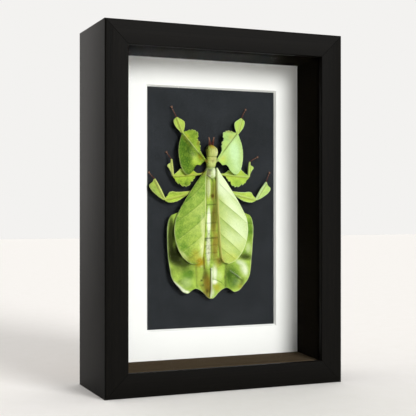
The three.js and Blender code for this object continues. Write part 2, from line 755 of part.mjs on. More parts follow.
function tarsus(from, to) {
  const start = new THREE.Vector3(...from);
  const end = new THREE.Vector3(...to);
  const ahead = end.clone().sub(start).normalize();
  const root = start.clone().addScaledVector(ahead, meetGap);
  const middle = root.clone().lerp(end, 0.5);
  middle.z -= tarsusSag;
  const path = [root, middle, end].map((point) => spot(point.x, point.y, point.z));
  const ripple = (t) => tarsusRipple * Math.cos(2 * Math.PI * tarsusJoints * t);
  const foot = rod(path, (t) => tarsusRadius - ripple(t) - tarsusTaper * t, tarsusSides, tarsusJoints * 3);
  const claws = [-1, 1].map((turn) => {
    const sideways = new THREE.Vector3(-ahead.y, ahead.x, 0).normalize().multiplyScalar(turn);
    const hook = clawHook.map(([on, aside, up]) => {
      const point = end.clone().addScaledVector(ahead, on).addScaledVector(sideways, aside);
      return spot(point.x, point.y, point.z + up);
    });
    return rod(hook, (t) => clawShape.radius - clawShape.taper * t, clawShape.sides, clawShape.rings);
  });
  return joined([foot, ...claws]);
}

for (const [sideName, side] of [['left', -1], ['right', 1]]) {
  for (const [legName, lobe] of Object.entries(lobes)) {
    const [coxa, knee, ankle, toe] = poses[sideName][legName];
    const femur = legLeaf({
      from: coxa,
      to: knee,
      startClear: 0,
      outer: lobe.femurOuter,
      inner: lobe.femurInner,
      side,
      lift: lobeLift[legName],
      tooth: toothDepth[legName],
      rowCount: legRows.femur
    });
    const tibia = legLeaf({
      from: knee,
      to: ankle,
      startClear: kneeClearance(coxa, knee, ankle),
      outer: lobe.tibiaOuter,
      inner: lobe.tibiaInner,
      side,
      lift: 0,
      tooth: 0,
      rowCount: legRows.tibia
    });
    addPart(`${legName}_femur_${sideName}`, femur, finishes.leg);
    addPart(`${legName}_tibia_${sideName}`, tibia, finishes.leg);
    addPart(`${legName}_tarsus_${sideName}`, tarsus(ankle, toe), finishes.foot);
  }
}

export default group;
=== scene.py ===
import math

import bmesh
import bpy
import numpy as np
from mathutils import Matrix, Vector


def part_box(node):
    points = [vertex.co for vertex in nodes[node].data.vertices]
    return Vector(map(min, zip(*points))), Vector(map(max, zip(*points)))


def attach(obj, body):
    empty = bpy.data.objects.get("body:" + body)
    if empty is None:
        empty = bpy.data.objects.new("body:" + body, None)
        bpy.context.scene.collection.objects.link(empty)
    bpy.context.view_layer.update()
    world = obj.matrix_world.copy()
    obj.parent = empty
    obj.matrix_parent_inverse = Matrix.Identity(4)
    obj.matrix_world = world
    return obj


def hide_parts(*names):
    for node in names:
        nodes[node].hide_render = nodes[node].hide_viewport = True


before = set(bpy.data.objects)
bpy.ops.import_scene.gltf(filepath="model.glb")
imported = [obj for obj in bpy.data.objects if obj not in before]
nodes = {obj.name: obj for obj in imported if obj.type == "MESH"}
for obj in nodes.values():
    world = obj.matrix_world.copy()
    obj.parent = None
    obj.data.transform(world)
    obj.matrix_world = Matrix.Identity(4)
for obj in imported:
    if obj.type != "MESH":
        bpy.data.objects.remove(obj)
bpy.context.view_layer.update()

# A giant leaf insect mounted in a deep box frame.
# Sizes are in millimetres, and mm turns them into Blender's metres.
mm = 0.001
scene = bpy.context.scene
print("frame loaded:", len(nodes), "nodes")


# Camera and studio

view = {"place": (-0.24662, -0.58864, 0.11558), "turn": -22.54, "lens": 83.64, "sensor": 36, "near": 0.01}
studio = {
    "keyAzimuth": 20,  # degrees to the viewer's right of straight on
    "keyHeight": 20,  # degrees above the horizon
    "keySoftness": 26, "keyStrength": 2.95, "keyColour": (1.0, 0.99, 0.983),
    "frontLight": (0.19, 0.19, 0.195, 1), "backLight": (1.55, 1.5, 1.45, 1),
    "topLight": (0.75, 0.75, 0.75, 1), "backdrop": (243, 242, 240), "floorSize": 6.0,
}


def srgb(red, green, blue):
    parts = [value / 255 for value in (red, green, blue)]
    linear = [c / 12.92 if c <= 0.04045 else ((c + 0.055) / 1.055) ** 2.4 for c in parts]
    return (*linear, 1)


def newObject(name, data, material=None):
    piece = bpy.data.objects.new(name, data)
    scene.collection.objects.link(piece)
    if material:
        data.materials.append(material)
    return piece


def makeCamera():
    data = bpy.data.cameras.new("camera")
    data.lens, data.sensor_width, data.clip_start = view["lens"], view["sensor"], view["near"]
    scene.camera = newObject("camera", data)
    scene.camera.location = view["place"]
    scene.camera.rotation_euler = (math.pi / 2, 0, math.radians(view["turn"]))


def makeKeyLight():
    data = bpy.data.lights.new("key", "SUN")
    data.energy, data.color = studio["keyStrength"], studio["keyColour"]
    data.angle = math.radians(studio["keySoftness"])
    azimuth, height = math.radians(studio["keyAzimuth"]), math.radians(studio["keyHeight"])
    towards = (math.sin(azimuth) * math.cos(height), -math.cos(azimuth) * math.cos(height), math.sin(height))
    newObject("key", data).rotation_euler = Vector(towards).to_track_quat("Z", "Y").to_euler()


# Small helpers for node trees

def setSocket(tree, socket, value):
    if isinstance(value, bpy.types.NodeSocket):
        tree.links.new(value, socket)
    else:
        socket.default_value = value


def addNode(tree, kind, settings=None, **sockets):
    node = tree.nodes.new(kind)
    for name, value in (settings or {}).items():
        setattr(node, name, value)
    for name, value in sockets.items():
        setSocket(tree, node.inputs[name.replace("_", " ")], value)
    return node


def mixColour(tree, amount, first, second, blend="MIX"):
    node = addNode(tree, "ShaderNodeMix", {"data_type": "RGBA", "blend_type": blend, "clamp_factor": True})
    for socket, value in ((0, amount), (6, first), (7, second)):
        setSocket(tree, node.inputs[socket], value)
    return node.outputs[2]


def calc(tree, operation, first, second):
    node = addNode(tree, "ShaderNodeMath", {"operation": operation})
    setSocket(tree, node.inputs[0], first)
    setSocket(tree, node.inputs[1], second)
    return node.outputs[0]


def plus(tree, first, second):
    return calc(tree, "ADD", first, second)


def times(tree, first, second):
    return calc(tree, "MULTIPLY", first, second)


def remap(tree, value, fromLow, fromHigh, toLow=0.0, toHigh=1.0):
    node = addNode(tree, "ShaderNodeMapRange", Value=value)
    for k, limit in enumerate((fromLow, fromHigh, toLow, toHigh)):
        node.inputs[k + 1].default_value = limit
    return node.outputs[0]


def noise(tree, vector, scale, detail=3.0, roughness=0.5, distortion=0.0):
    return addNode(tree, "ShaderNodeTexNoise", Vector=vector, Scale=scale, Detail=detail,
                   Roughness=roughness, Distortion=distortion).outputs[0]


def stretched(tree, vector, x, y, z):
    return addNode(tree, "ShaderNodeMapping", Vector=vector, Scale=(x, y, z)).outputs[0]


def objectPlace(tree):
    return addNode(tree, "ShaderNodeTexCoord").outputs["Object"]


def makeWorld():
    world = scene.world = bpy.data.worlds.new("studio")
    world.use_nodes = True
    tree = world.node_tree
    tree.nodes.clear()
    direction = addNode(tree, "ShaderNodeTexCoord").outputs["Generated"]
    axes = addNode(tree, "ShaderNodeSeparateXYZ", Vector=direction).outputs
    light = mixColour(tree, remap(tree, axes["Y"], -0.4, 0.9), studio["frontLight"], studio["backLight"])
    light = mixColour(tree, remap(tree, axes["Z"], 0.55, 0.95), light, studio["topLight"])
    seen = addNode(tree, "ShaderNodeLightPath").outputs["Is Camera Ray"]
    background = addNode(tree, "ShaderNodeBackground",
                         Color=mixColour(tree, seen, light, srgb(*studio["backdrop"])))
    addNode(tree, "ShaderNodeOutputWorld", Surface=background.outputs[0])


makeCamera()
makeKeyLight()
makeWorld()
scene.view_settings.view_transform = "Standard"
print("camera and lights ready")


# Effects that several materials share. The marks are attributes from 0 to 1 on every leaf-like piece.

colourKind, numberKind = "NodeSocketColor", "NodeSocketFloat"
leafTones = ("Deep", "Light", "Pale", "Warm", "StainAndShade", "Dark")
markNames = ("fresh", "pale", "warm", "stain", "dark")


def shaderGroup(name, paint, tones, numbers=()):
    # A node group whose colour and height come from paint
    group = bpy.data.node_groups.new(name, "ShaderNodeTree")
    inputs = [(tone, colourKind) for tone in tones] + [(number, numberKind) for number in numbers]
    outputs = [("Color", colourKind), ("Height", numberKind)]
    for direction, sockets in (("INPUT", inputs), ("OUTPUT", outputs)):
        for socketName, kind in sockets:
            group.interface.new_socket(socketName, in_out=direction, socket_type=kind)
    given, result = group.nodes.new("NodeGroupInput"), group.nodes.new("NodeGroupOutput")
    for k, value in enumerate(paint(group, given.outputs)):
        group.links.new(value, result.inputs[k])
    return group


def paintCuticle(tree, given):
    # Green cuticle. The piece's own marks say where it is fresh, pale, stained or dark. The pale marks also
    # carry painted highlights, and the stain-and-shade and dark marks also carry painted shade.
    place = objectPlace(tree)
    marks = {mark: addNode(tree, "ShaderNodeAttribute", {"attribute_name": mark}).outputs["Fac"]
             for mark in markNames}
    cloud = remap(tree, noise(tree, place, 260.0, 4.0), 0.3, 0.7, -1.0, 1.0)
    fine = remap(tree, noise(tree, place, 1400.0, 3.0, 0.6), 0.3, 0.7, -1.0, 1.0)
    marks["fresh"] = plus(tree, marks["fresh"], times(tree, plus(tree, cloud, fine), given["Mottle"]))
    marks["pale"] = times(tree, marks["pale"], plus(tree, 1.0, times(tree, fine, 0.1)))
    marks["stain"] = times(tree, marks["stain"], plus(tree, 0.9, times(tree, cloud, 0.25)))
    colour = given["Deep"]
    for mark, tone in zip(markNames, leafTones[1:]):
        colour = mixColour(tree, marks[mark], colour, given[tone])
    cells = addNode(tree, "ShaderNodeTexVoronoi", {"feature": "DISTANCE_TO_EDGE"}, Vector=place,
                    Scale=given["Cell"]).outputs["Distance"]
    webbed = remap(tree, cells, 0.0, 0.12)
    web = times(tree, calc(tree, "SUBTRACT", 1.0, webbed), 0.16)
    colour = mixColour(tree, web, colour, given["Deep"], "MULTIPLY")
    return colour, plus(tree, webbed, times(tree, fine, 0.35))


def paintWood(tree, given):
    # Long pores and streaks, along the first axis of the grain map
    place = addNode(tree, "ShaderNodeUVMap", {"uv_map": "grain"}).outputs[0]
    streaks = noise(tree, stretched(tree, place, 14, 900, 900), 1.0, 4.0, 0.6)
    pores = noise(tree, stretched(tree, place, 90, 3200, 3200), 1.0, 2.0, 0.5)
    amount = remap(tree, plus(tree, times(tree, streaks, 0.6), times(tree, pores, 0.4)), 0.35, 0.65)
    height = plus(tree, amount, times(tree, pores, 0.8))
    return mixColour(tree, amount, given["Dark"], given["Light"]), height


def paintPaper(tree, given):
    # Short matted fibres of card and paper, some level and some upright
    place = objectPlace(tree)
    fibres = [noise(tree, stretched(tree, place, x, 1.0, z), given["Fibre"], 4.0, 0.65, 0.4)
              for x, z in ((1.0, 2.6), (2.6, 1.0))]
    crossed = times(tree, plus(tree, *fibres), 0.5)
    cloudy = plus(tree, times(tree, crossed, 0.75), times(tree, noise(tree, place, 60.0, 2.0), 0.25))
    return mixColour(tree, remap(tree, cloudy, 0.36, 0.64), given["Dark"], given["Light"]), crossed


leafCuticle = shaderGroup("leafCuticle", paintCuticle, leafTones, ("Mottle", "Cell"))
woodGrain = shaderGroup("woodGrain", paintWood, ("Dark", "Light"))
paperFibre = shaderGroup("paperFibre", paintPaper, ("Dark", "Light"), ("Fibre",))


# Materials

def newMaterial(name, roughness, **constants):
    material = bpy.data.materials.new(name)
    material.use_nodes = True
    shader = material.node_tree.nodes["Principled BSDF"]
    for socket, value in {"Roughness": roughness, **constants}.items():
        shader.inputs[socket.replace("_", " ")].default_value = value
    return material, material.node_tree, shader


def addBump(tree, shader, height, distance, strength=1.0):
    bump = addNode(tree, "ShaderNodeBump", Height=height, Distance=distance * mm, Strength=strength)
    tree.links.new(bump.outputs[0], shader.inputs["Normal"])


def surfaced(name, group, tones, numbers, roughness, bump, strength=1.0, **constants):
    # A material whose colour and bump come from a shared effect
    material, tree, shader = newMaterial(name, roughness, **constants)
    sockets = {tone: srgb(*value) for tone, value in tones.items()}
    effect = addNode(tree, "ShaderNodeGroup", {"node_tree": group}, **sockets, **numbers)
    tree.links.new(effect.outputs["Color"], shader.inputs["Base Color"])
    addBump(tree, shader, effect.outputs["Height"], bump, strength)
    return material


def cuticle(name, tones, roughness=0.66, mottle=0.2, cell=1500.0, bump=0.05):
    return surfaced(name, leafCuticle, dict(zip(leafTones, tones)), {"Mottle": mottle, "Cell": cell},
                    roughness, bump, Specular_IOR_Level=0.06)


def blackWood(name, dark, light, roughness, level, ior):
    return surfaced(name, woodGrain, {"Dark": dark, "Light": light}, {}, roughness, 0.05, 0.7,
                    Specular_IOR_Level=level, IOR=ior)


def paper(name, dark, light, roughness, fibre, bump, level=0.25):
    return surfaced(name, paperFibre, {"Dark": dark, "Light": light}, {"Fibre": fibre}, roughness, bump,
                    Specular_IOR_Level=level)


def clearGlass():
    # A thin anti-reflective pane: light passes straight through, with a faint mirror at its face
    material = bpy.data.materials.new("clearGlass")
    material.use_nodes = True
    tree = material.node_tree
    tree.nodes.clear()
    blend = addNode(tree, "ShaderNodeMixShader", Fac=addNode(tree, "ShaderNodeFresnel", IOR=1.05).outputs[0])
    through = addNode(tree, "ShaderNodeBsdfTransparent", Color=(0.99, 0.995, 0.99, 1))
    mirror = addNode(tree, "ShaderNodeBsdfGlossy", Roughness=0.03, Color=(1, 1, 1, 1))
    tree.links.new(through.outputs[0], blend.inputs[1])
    tree.links.new(mirror.outputs[0], blend.inputs[2])
    addNode(tree, "ShaderNodeOutputMaterial", Surface=blend.outputs[0])
    return material


def zincSteel():
    material, tree, shader = newMaterial("zincSteel", 0.36, Metallic=1.0)
    place = objectPlace(tree)
    spangle = noise(tree, place, 700.0)
    colour = mixColour(tree, remap(tree, spangle, 0.35, 0.65), srgb(150, 150, 148), srgb(196, 196, 192))
    tree.links.new(colour, shader.inputs["Base Color"])
    tree.links.new(remap(tree, spangle, 0.3, 0.7, 0.28, 0.48), shader.inputs["Roughness"])
    addBump(tree, shader, noise(tree, stretched(tree, place, 1, 1, 8), 900.0), 0.02)
    return material


def glossyEye():
    material, tree, shader = newMaterial("glossyEye", 0.16, Coat_Weight=0.5)
    cells = addNode(tree, "ShaderNodeTexVoronoi", Vector=objectPlace(tree), Scale=9000.0)
    facets = cells.outputs["Distance"]
    colour = mixColour(tree, remap(tree, facets, 0.1, 0.7), srgb(96, 66, 36), srgb(44, 30, 16))
    tree.links.new(colour, shader.inputs["Base Color"])
    addBump(tree, shader, calc(tree, "SUBTRACT", 1.0, facets), 0.01)
    return material


# Colours are red, green and blue out of 255, and a cuticle's are in the order of leafTones
finishes = {
    "rail": blackWood("blackStainedWood", (3, 3, 2), (12, 10, 7), 0.5, 0.05, 1.5),
    "spacer": blackWood("brownBlackCard", (16, 13, 9), (24, 20, 14), 0.8, 0, 1),
    # The bottom wall's card is a lighter copy of the same black card: painted light where the key lamp falls
    # on it
    "spacerBottom": blackWood("litBottomBlackCard", (62, 52, 40), (84, 72, 58), 0.8, 0, 1.3),
    "mat": paper("whiteCard", (242, 242, 241), (247, 247, 246), 0.92, 1400.0, 0.03),
    "board": paper("charcoalPaper", (30, 32, 34), (49, 52, 56), 0.95, 1300.0, 0.12, 0.1),
    "back": paper("fibreboard", (112, 82, 54), (150, 114, 78), 0.85, 1000.0, 0.08),
    "floor": paper("paleFloor", (241, 239, 235), (244, 242, 239), 0.9, 90.0, 0.02),
    "glass": clearGlass(),
    "steel": zincSteel(),
    "eye": glossyEye(),
    "body": cuticle("bodyCuticle", [
        (94, 136, 40), (182, 208, 90), (238, 242, 218), (178, 146, 10), (132, 104, 36), (24, 28, 3)]),
    # The left wing's and left legs' tones are darker and the right ones' paler: painted shade on the left
    # side and painted light on the right side of one cuticle
    "leftWing": cuticle("leftWingMembrane", [
        (106, 145, 48), (182, 203, 90), (228, 232, 172), (182, 150, 12), (134, 110, 26), (48, 68, 12)],
        0.62, 0.3, 1100.0),
    "rightWing": cuticle("rightWingMembrane", [
        (149, 181, 86), (191, 207, 103), (227, 240, 198), (200, 178, 56), (140, 116, 40), (82, 102, 28)],
        0.62, 0.26, 1100.0),
    "leftLeg": cuticle("leftLegCuticle", [
        (66, 104, 24), (172, 200, 68), (222, 230, 150), (190, 160, 30), (132, 96, 42), (46, 50, 3)]),
    "rightLeg": cuticle("rightLegCuticle", [
        (126, 168, 60), (186, 210, 84), (208, 238, 188), (200, 176, 60), (138, 100, 48), (70, 78, 7)]),
    "foot": cuticle("footCuticle", [
        (88, 44, 34), (164, 126, 102), (196, 164, 140), (150, 110, 70), (84, 44, 30), (36, 18, 12)],
        0.5, 0.12, 4000.0, 0.02),
}
print("materials ready:", len(finishes))


# Mesh helpers

def readStops(stops, places):
    # A smooth value from stops [place, value] that keeps to the steps between them
    at, values = np.array(stops, float).T
    places = np.clip(np.asarray(places, float), at[0], at[-1])
    slope = np.diff(values) / np.diff(at)
    lean = np.concatenate([slope[:1], np.zeros(len(at) - 2), slope[-1:]])
    product = slope[:-1] * slope[1:]
    total = np.where(product > 0, slope[:-1] + slope[1:], 1)
    lean[1:-1] = np.where(product > 0, 2 * product / total, 0)
    k = np.clip(np.searchsorted(at, places) - 1, 0, len(at) - 2)
    run = at[k + 1] - at[k]
    t = (places - at[k]) / run
    start = values[k] * (1 + 2 * t) * (1 - t) ** 2 + lean[k] * run * t * (1 - t) ** 2
    end = values[k + 1] * t * t * (3 - 2 * t) - lean[k + 1] * run * t * t * (1 - t)
    return start + end


def smoothStep(low, high, values):
    t = np.clip((values - low) / (high - low), 0, 1)
    return t * t * (3 - 2 * t)


def bell(values, width):
    return np.exp(-((values / width) ** 2))


def unit(vector):
    return vector / np.linalg.norm(vector, axis=-1, keepdims=True)


def tubeFaces(index):
    # Faces between rings of points, which are the rows of index
    following = np.roll(index, -1, axis=1)
    return np.stack([index[:-1], following[:-1], following[1:], index[1:]], -1).reshape(-1, 4)


def newMesh(name, points, faces, smooth=True):
    mesh = bpy.data.meshes.new(name)
    mesh.from_pydata((np.asarray(points, float) * mm).tolist(), [], faces)
    mesh.polygons.foreach_set("use_smooth", [smooth] * len(mesh.polygons))
    return mesh


def closedMesh(name, points, quads, material, marks=None, smooth=True):
    points, quads = np.asarray(points, float), np.asarray(quads)
    a, b, c, d = (points[quads[:, k]] for k in range(4))
    volume = np.einsum("ij,ij->", a, np.cross(b, c)) + np.einsum("ij,ij->", a, np.cross(c, d))
    if volume < 0:
        quads = quads[:, ::-1]
    mesh = newMesh(name, points, [list(dict.fromkeys(quad)) for quad in quads.tolist()], smooth)
    for mark, values in (marks or {}).items():
        layer = mesh.attributes.new(mark, "FLOAT", "POINT")
        layer.data.foreach_set("value", np.clip(values, 0, 1).astype(np.float32).ravel())
    mesh.update()
    return newObject(name, mesh, material)


def settle(piece, slotName, *replaced):
    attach(piece, "root")
    if replaced:
        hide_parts(*replaced)


# The case

caseSizes = {
    "width": 163, "height": 230, "depth": 59, "face": 15, "wall": 11, "lip": 3.2, "gap": 0.3,
    "edgeRound": 1.0, "innerRound": 0.6, "arcSteps": 5, "mitreEase": 0.12, "mitreGap": 0.02,
    "mitreSpan": 30, "sharpAngle": 40, "grainShift": [0.37, 0.11],
}
spacerSizes = {"front": 5.8, "back": 30.7, "lean": 2, "edgeRound": 0.25}
matSizes = {
    "front": 31, "thickness": 1.6, "bevel": 1.1, "width": 93.2, "height": 159.7, "bottom": 35.6,
    "shift": 1.9,
}


def roundedSection(corners):
    # corners: [inset, depth, radius], turned into an outline with arcs
    outline = []
    places = [np.array(corner[:2], float) for corner in corners]
    for k, (here, (_, _, radius)) in enumerate(zip(places, corners)):
        if radius == 0:
            outline.append(here)
            continue
        start, end = (here + unit(other - here) * radius
                      for other in (places[k - 1], places[(k + 1) % len(places)]))
        centre = start + end - here
        for turn in np.linspace(0, math.pi / 2, caseSizes["arcSteps"] + 1):
            outline.append(centre + (start - centre) * math.cos(turn) + (end - centre) * math.sin(turn))
    return np.array(outline)


def alongSide(side, s, inset, y):
    width, height = caseSizes["width"], caseSizes["height"]
    return {
        "bottom": (s, y, inset),
        "top": (s, y, height - inset),
        "left": (inset - width / 2, y, s + height / 2),
        "right": (width / 2 - inset, y, s + height / 2),
    }[side]


def mitredStrip(name, side, corners, material, slotName, order):
    outline = roundedSection(corners)
    middle, count = outline.mean(0), len(outline)
    ease = caseSizes["mitreEase"]
    eased = middle + (outline - middle) * (1 - ease / caseSizes["mitreSpan"])
    half = caseSizes["width" if side in ("bottom", "top") else "height"] / 2 - caseSizes["mitreGap"]
    rings = [(-1, 0, eased), (-1, ease, outline), (1, ease, outline), (1, 0, eased)]
    points = [alongSide(side, end * (half - inset - back), inset, depth - caseSizes["depth"] / 2)
              for end, back, section in rings for inset, depth in section]
    index = np.arange(4 * count).reshape(4, count)
    mesh = newMesh(name, points, tubeFaces(index).tolist() + [index[0, ::-1].tolist(), index[3].tolist()])
    layGrain(mesh, outline, order)
    piece = newObject(name, mesh, material)
    shape = bmesh.new()
    shape.from_mesh(mesh)
    bmesh.ops.recalc_face_normals(shape, faces=shape.faces)
    shape.to_mesh(mesh)
    shape.free()
    mesh.set_sharp_from_angle(angle=math.radians(caseSizes["sharpAngle"]))
    settle(piece, slotName, name)


def layGrain(mesh, outline, order):
    # The grain map runs along the strip and round its section, in metres
    sides = np.linalg.norm(np.roll(outline, -1, axis=0) - outline, axis=1)
    around = np.concatenate([[0], np.cumsum(sides)])
    count = len(outline)
    layer = mesh.uv_layers.new(name="grain")
    lengthwise = 0 if mesh.name.endswith(("bottom", "top")) else 2
    for polygon in mesh.polygons:
        rounds = [mesh.loops[k].vertex_index % count for k in polygon.loop_indices]
        wraps = len(rounds) == 4 and 0 in rounds and count - 1 in rounds
        for k, place in zip(polygon.loop_indices, rounds):
            vertex = mesh.vertices[mesh.loops[k].vertex_index].co
            place = count if wraps and place == 0 else place
            shift = caseSizes["grainShift"]
            layer.data[k].uv = (vertex[lengthwise] + order * shift[0], around[place] * mm + order * shift[1])


def makeCase():
    face, wall, lip, depth = (caseSizes[key] for key in ("face", "wall", "lip", "depth"))
    outer, inner = caseSizes["edgeRound"], caseSizes["innerRound"]
    railCorners = [[0, 0, outer], [face, 0, inner], [face, lip, 0], [wall, lip, 0], [wall, depth, inner],
                   [0, depth, outer]]
    clear, soft = wall + caseSizes["gap"], spacerSizes["edgeRound"]
    front, back = spacerSizes["front"], spacerSizes["back"]
    spacerCorners = [[clear, front, 0], [face, front, soft], [face + spacerSizes["lean"], back, soft],
                     [clear, back, 0]]
    for order, side in enumerate(("bottom", "top", "left", "right")):
        mitredStrip("rail_" + side, side, railCorners, finishes["rail"], "frame_wood", order)
        # The bottom spacer takes the lighter copy of the card, as painted light
        spacerFinish = finishes["spacerBottom" if side == "bottom" else "spacer"]
        mitredStrip("spacer_" + side, side, spacerCorners, spacerFinish, "spacer", order + 4)


def makeMat():
    low, high = (np.array(corner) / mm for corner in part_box("mat"))
    front = matSizes["front"] - caseSizes["depth"] / 2
    back = front + matSizes["thickness"]
    left, right = (matSizes["shift"] + turn * matSizes["width"] / 2 for turn in (-1, 1))
    bottom, top = matSizes["bottom"], matSizes["bottom"] + matSizes["height"]
    ease = matSizes["bevel"]
    rings = [
        (low[0], high[0], low[2], high[2], front),
        (left, right, bottom, top, front),
        (left + ease, right - ease, bottom + ease, top - ease, back),
        (low[0], high[0], low[2], high[2], back),
    ]
    points = [point for a, b, c, d, y in rings for point in ((a, y, c), (b, y, c), (b, y, d), (a, y, d))]
    quads = tubeFaces(np.arange(16).reshape(4, 4)[[0, 1, 2, 3, 0]])
    settle(closedMesh("mat", points, quads, finishes["mat"], smooth=False), "mat", "mat")


makeCase()
makeMat()
dressing = {"glass": "glass_pane", "board": "mount_board", "back": "back_panel",
            "steel": ("framers_point", "hanger")}
for finishName, starts in dressing.items():
    for nodeName in nodes:
        if nodeName.startswith(starts):
            nodes[nodeName].data.materials.clear()
            nodes[nodeName].data.materials.append(finishes[finishName])
print("case ready")


# The insect. Across is counted from its midline, along from its tail, and height from the board.

insect = {"midline": -0.6, "tail": 55.8, "membrane": 0.5}
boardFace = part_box("mount_board")[0].y / mm


def placed(across, along, height):
    across, along, height = np.broadcast_arrays(across, along, height)
    return np.stack([insect["midline"] + across, boardFace - height, insect["tail"] + along], -1)


def gridFaces(index):
    return np.stack([index[:-1, :-1], index[:-1, 1:], index[1:, 1:], index[1:, :-1]], -1).reshape(-1, 4)


def ringOf(index):
    return np.concatenate([index[0, :-1], index[:-1, -1], index[-1, :0:-1], index[:0:-1, 0]])


def leafSheet(name, across, along, top, bottom, marks, material):
    # An upper sheet and a lower one of every second row and column, joined round the rim
    upper = placed(across, along, top)
    lower = placed(across, along, bottom)[::2, ::2]
    index = np.arange(across.size).reshape(across.shape)
    under = across.size + np.arange(lower[..., 0].size).reshape(lower.shape[:2])
    rim, underRim = ringOf(index), ringOf(under)
    start, middle, end = rim[::2], rim[1::2], np.roll(rim, -2)[::2]
    underEnd = np.roll(underRim, -1)
    walls = [[middle, start, underRim, underRim], [end, middle, underEnd, underEnd],
             [middle, underRim, underEnd, underEnd]]
    quads = [gridFaces(index), gridFaces(under)[:, ::-1]] + [np.stack(wall, -1) for wall in walls]
    points = np.concatenate([upper.reshape(-1, 3), lower.reshape(-1, 3)])
    both = {mark: np.concatenate([values.ravel(), values[::2, ::2].ravel()])
            for mark, values in marks.items()}
    return closedMesh(name, points, np.concatenate(quads), material, both)


def dab(across, along, x, y, wide, tall, hardness=1, turn=0):
    # A soft spot, 1 in its middle
    c, s = math.cos(math.radians(turn)), math.sin(math.radians(turn))
    u, v = ((across - x) * c + (along - y) * s) / wide, ((along - y) * c - (across - x) * s) / tall
    return np.exp(-((u * u + v * v) ** hardness))


def stroke(across, along, x, y, toX, toY, width):
    # A soft line from one place to another
    runX, runY = toX - x, toY - y
    t = np.clip(((across - x) * runX + (along - y) * runY) / (runX * runX + runY * runY), 0, 1)
    return bell(np.hypot(across - x - runX * t, along - y - runY * t), width)


def relief(across, along, dabs, strokes):
    # Heights of soft bumps and creases, whose first value is how high they are
    heights = sum(height * dab(across, along, *shape) for height, *shape in dabs)
    return heights + sum(height * stroke(across, along, *shape) for height, *shape in strokes)


def newMarks(across, fresh, pale=0.0):
    starts = {"fresh": fresh, "pale": pale}
    return {mark: np.full(across.shape, starts.get(mark, 0.0)) for mark in markNames}


def lay(marks, **amounts):
    # Adds to marks without passing 1, or takes away from them without passing 0
    for mark, amount in amounts.items():
        before = np.clip(marks[mark], 0, 1)
        marks[mark] = np.where(amount > 0, before + (1 - before) * amount, before * (1 + amount))


def layAll(marks, across, along, spots, shape=dab):
    # spots: for each mark, rows of an amount and the values that shape takes
    for mark, rows in spots.items():
        for amount, *values in rows:
            lay(marks, **{mark: amount * shape(across, along, *values)})


# Fore wings: domed sheets whose rows slant as the branch veins do

wing = {
    "inner": [[24, 8], [27, 6.4], [35, 5.2], [47, 4.5], [59, 3.7], [72, 3.6], [84, 3.5], [86.2, 3.1]],
    "outer": [[22.8, 12.4], [23.6, 15], [26, 18.6], [29, 21.3], [33, 23.6], [40, 25.8], [45, 26.4],
        [48, 26.2], [52, 25.5], [57.5, 23.1], [64.3, 19.2], [70.9, 14.8], [77, 10.6], [81.5, 7.2],
        [86.4, 4.1]],
    "slant": [[24, 22.8], [27, 23.4], [31, 24.6], [36, 26.3], [41.1, 28.5], [52.8, 36.5], [65.3, 48.8],
        [71.6, 54.6], [78, 62.5], [82, 71], [84.5, 79], [86.2, 86.4]],
    "ends": {-1: [85, 24], 1: [86.2, 24]}, "mainFolds": [90, 77, 66, 54.4, 43.4, 33.6, 22],
    "faintVeins": [82, 71.5, 60.2, 48.8, 38.4, 28.6], "foot": 5.6,
    "dome": [[22, 0.9], [34, 1.9], [58, 2.2], [76, 1.3], [86, 0.4]], "mainVein": 0.8, "mainRise": 0.34,
    "foldVein": 0.32, "foldRise": 0.2, "faintRise": 0.07, "sag": 0.36, "tuck": 0.75, "rows": 301,
    "columns": 121, "bend": 1.6, "bendReach": 2.5, "mainWidth": 0.5, "faintWidth": 0.3, "edgeReach": 0.4,
    "tuckWidth": 1.1,
}


def wingPiece(side, name, material, paint):
    shares = np.linspace(0, 1, wing["columns"])[None, :]
    inner = np.linspace(*wing["ends"][side], wing["rows"])[:, None]
    outer = readStops(wing["slant"], inner)
    start, end = readStops(wing["inner"], inner), readStops(wing["outer"], outer)
    wide = end - start
    across = start + wide * shares
    along = inner + (outer - inner) * shares
    folds = np.array(wing["mainFolds"])
    # A branch vein leaves the main vein steeply and then runs straight
    curved = inner - wing["bend"] * np.exp(-shares * wide / wing["bendReach"]) + 0 * shares
    order = np.clip(np.searchsorted(-folds, -curved.ravel()) - 1, 0, len(folds) - 2).reshape(curved.shape)
    panel = np.clip((folds[order] - curved) / (folds[order] - folds[order + 1]), 0, 1)
    fade = smoothStep(1.0, 0.86, shares)
    foldLine = nearLines(curved, folds, wing["foldVein"] * (1.3 - 0.6 * shares)) * fade
    faintLine = nearLines(curved, np.array(wing["faintVeins"]), wing["faintWidth"])
    faintLine = faintLine * smoothStep(0.9, 0.5, shares)
    mainLine = bell(shares * wide - wing["mainVein"], wing["mainWidth"])
    sides = np.minimum(shares, 1 - shares) * wide
    edge = np.sqrt(np.clip(sides / wing["edgeReach"], 0.05, 1))
    lifted = wing["foot"] + readStops(wing["dome"], along) * np.sin(math.pi * shares ** 0.8)
    lifted = lifted - wing["sag"] * np.sin(math.pi * panel) * fade * smoothStep(0.02, 0.25, shares)
    lifted = lifted - wing["tuck"] * bell(shares * wide, wing["tuckWidth"]) * smoothStep(85, 79, along)
    veins = np.maximum(wing["foldRise"] * foldLine, wing["faintRise"] * faintLine)
    veins = np.maximum(veins, wing["mainRise"] * mainLine)
    top = lifted + (insect["membrane"] / 2 + veins) * edge
    bottom = lifted - insect["membrane"] / 2 * edge
    marks = paint(side * across, along, shares, panel, foldLine, mainLine, sides)
    return leafSheet(name, side * across, along, top, bottom, marks, material)


def nearLines(places, lines, width):
    return bell(np.min(np.abs(places[..., None] - lines), axis=-1), width)


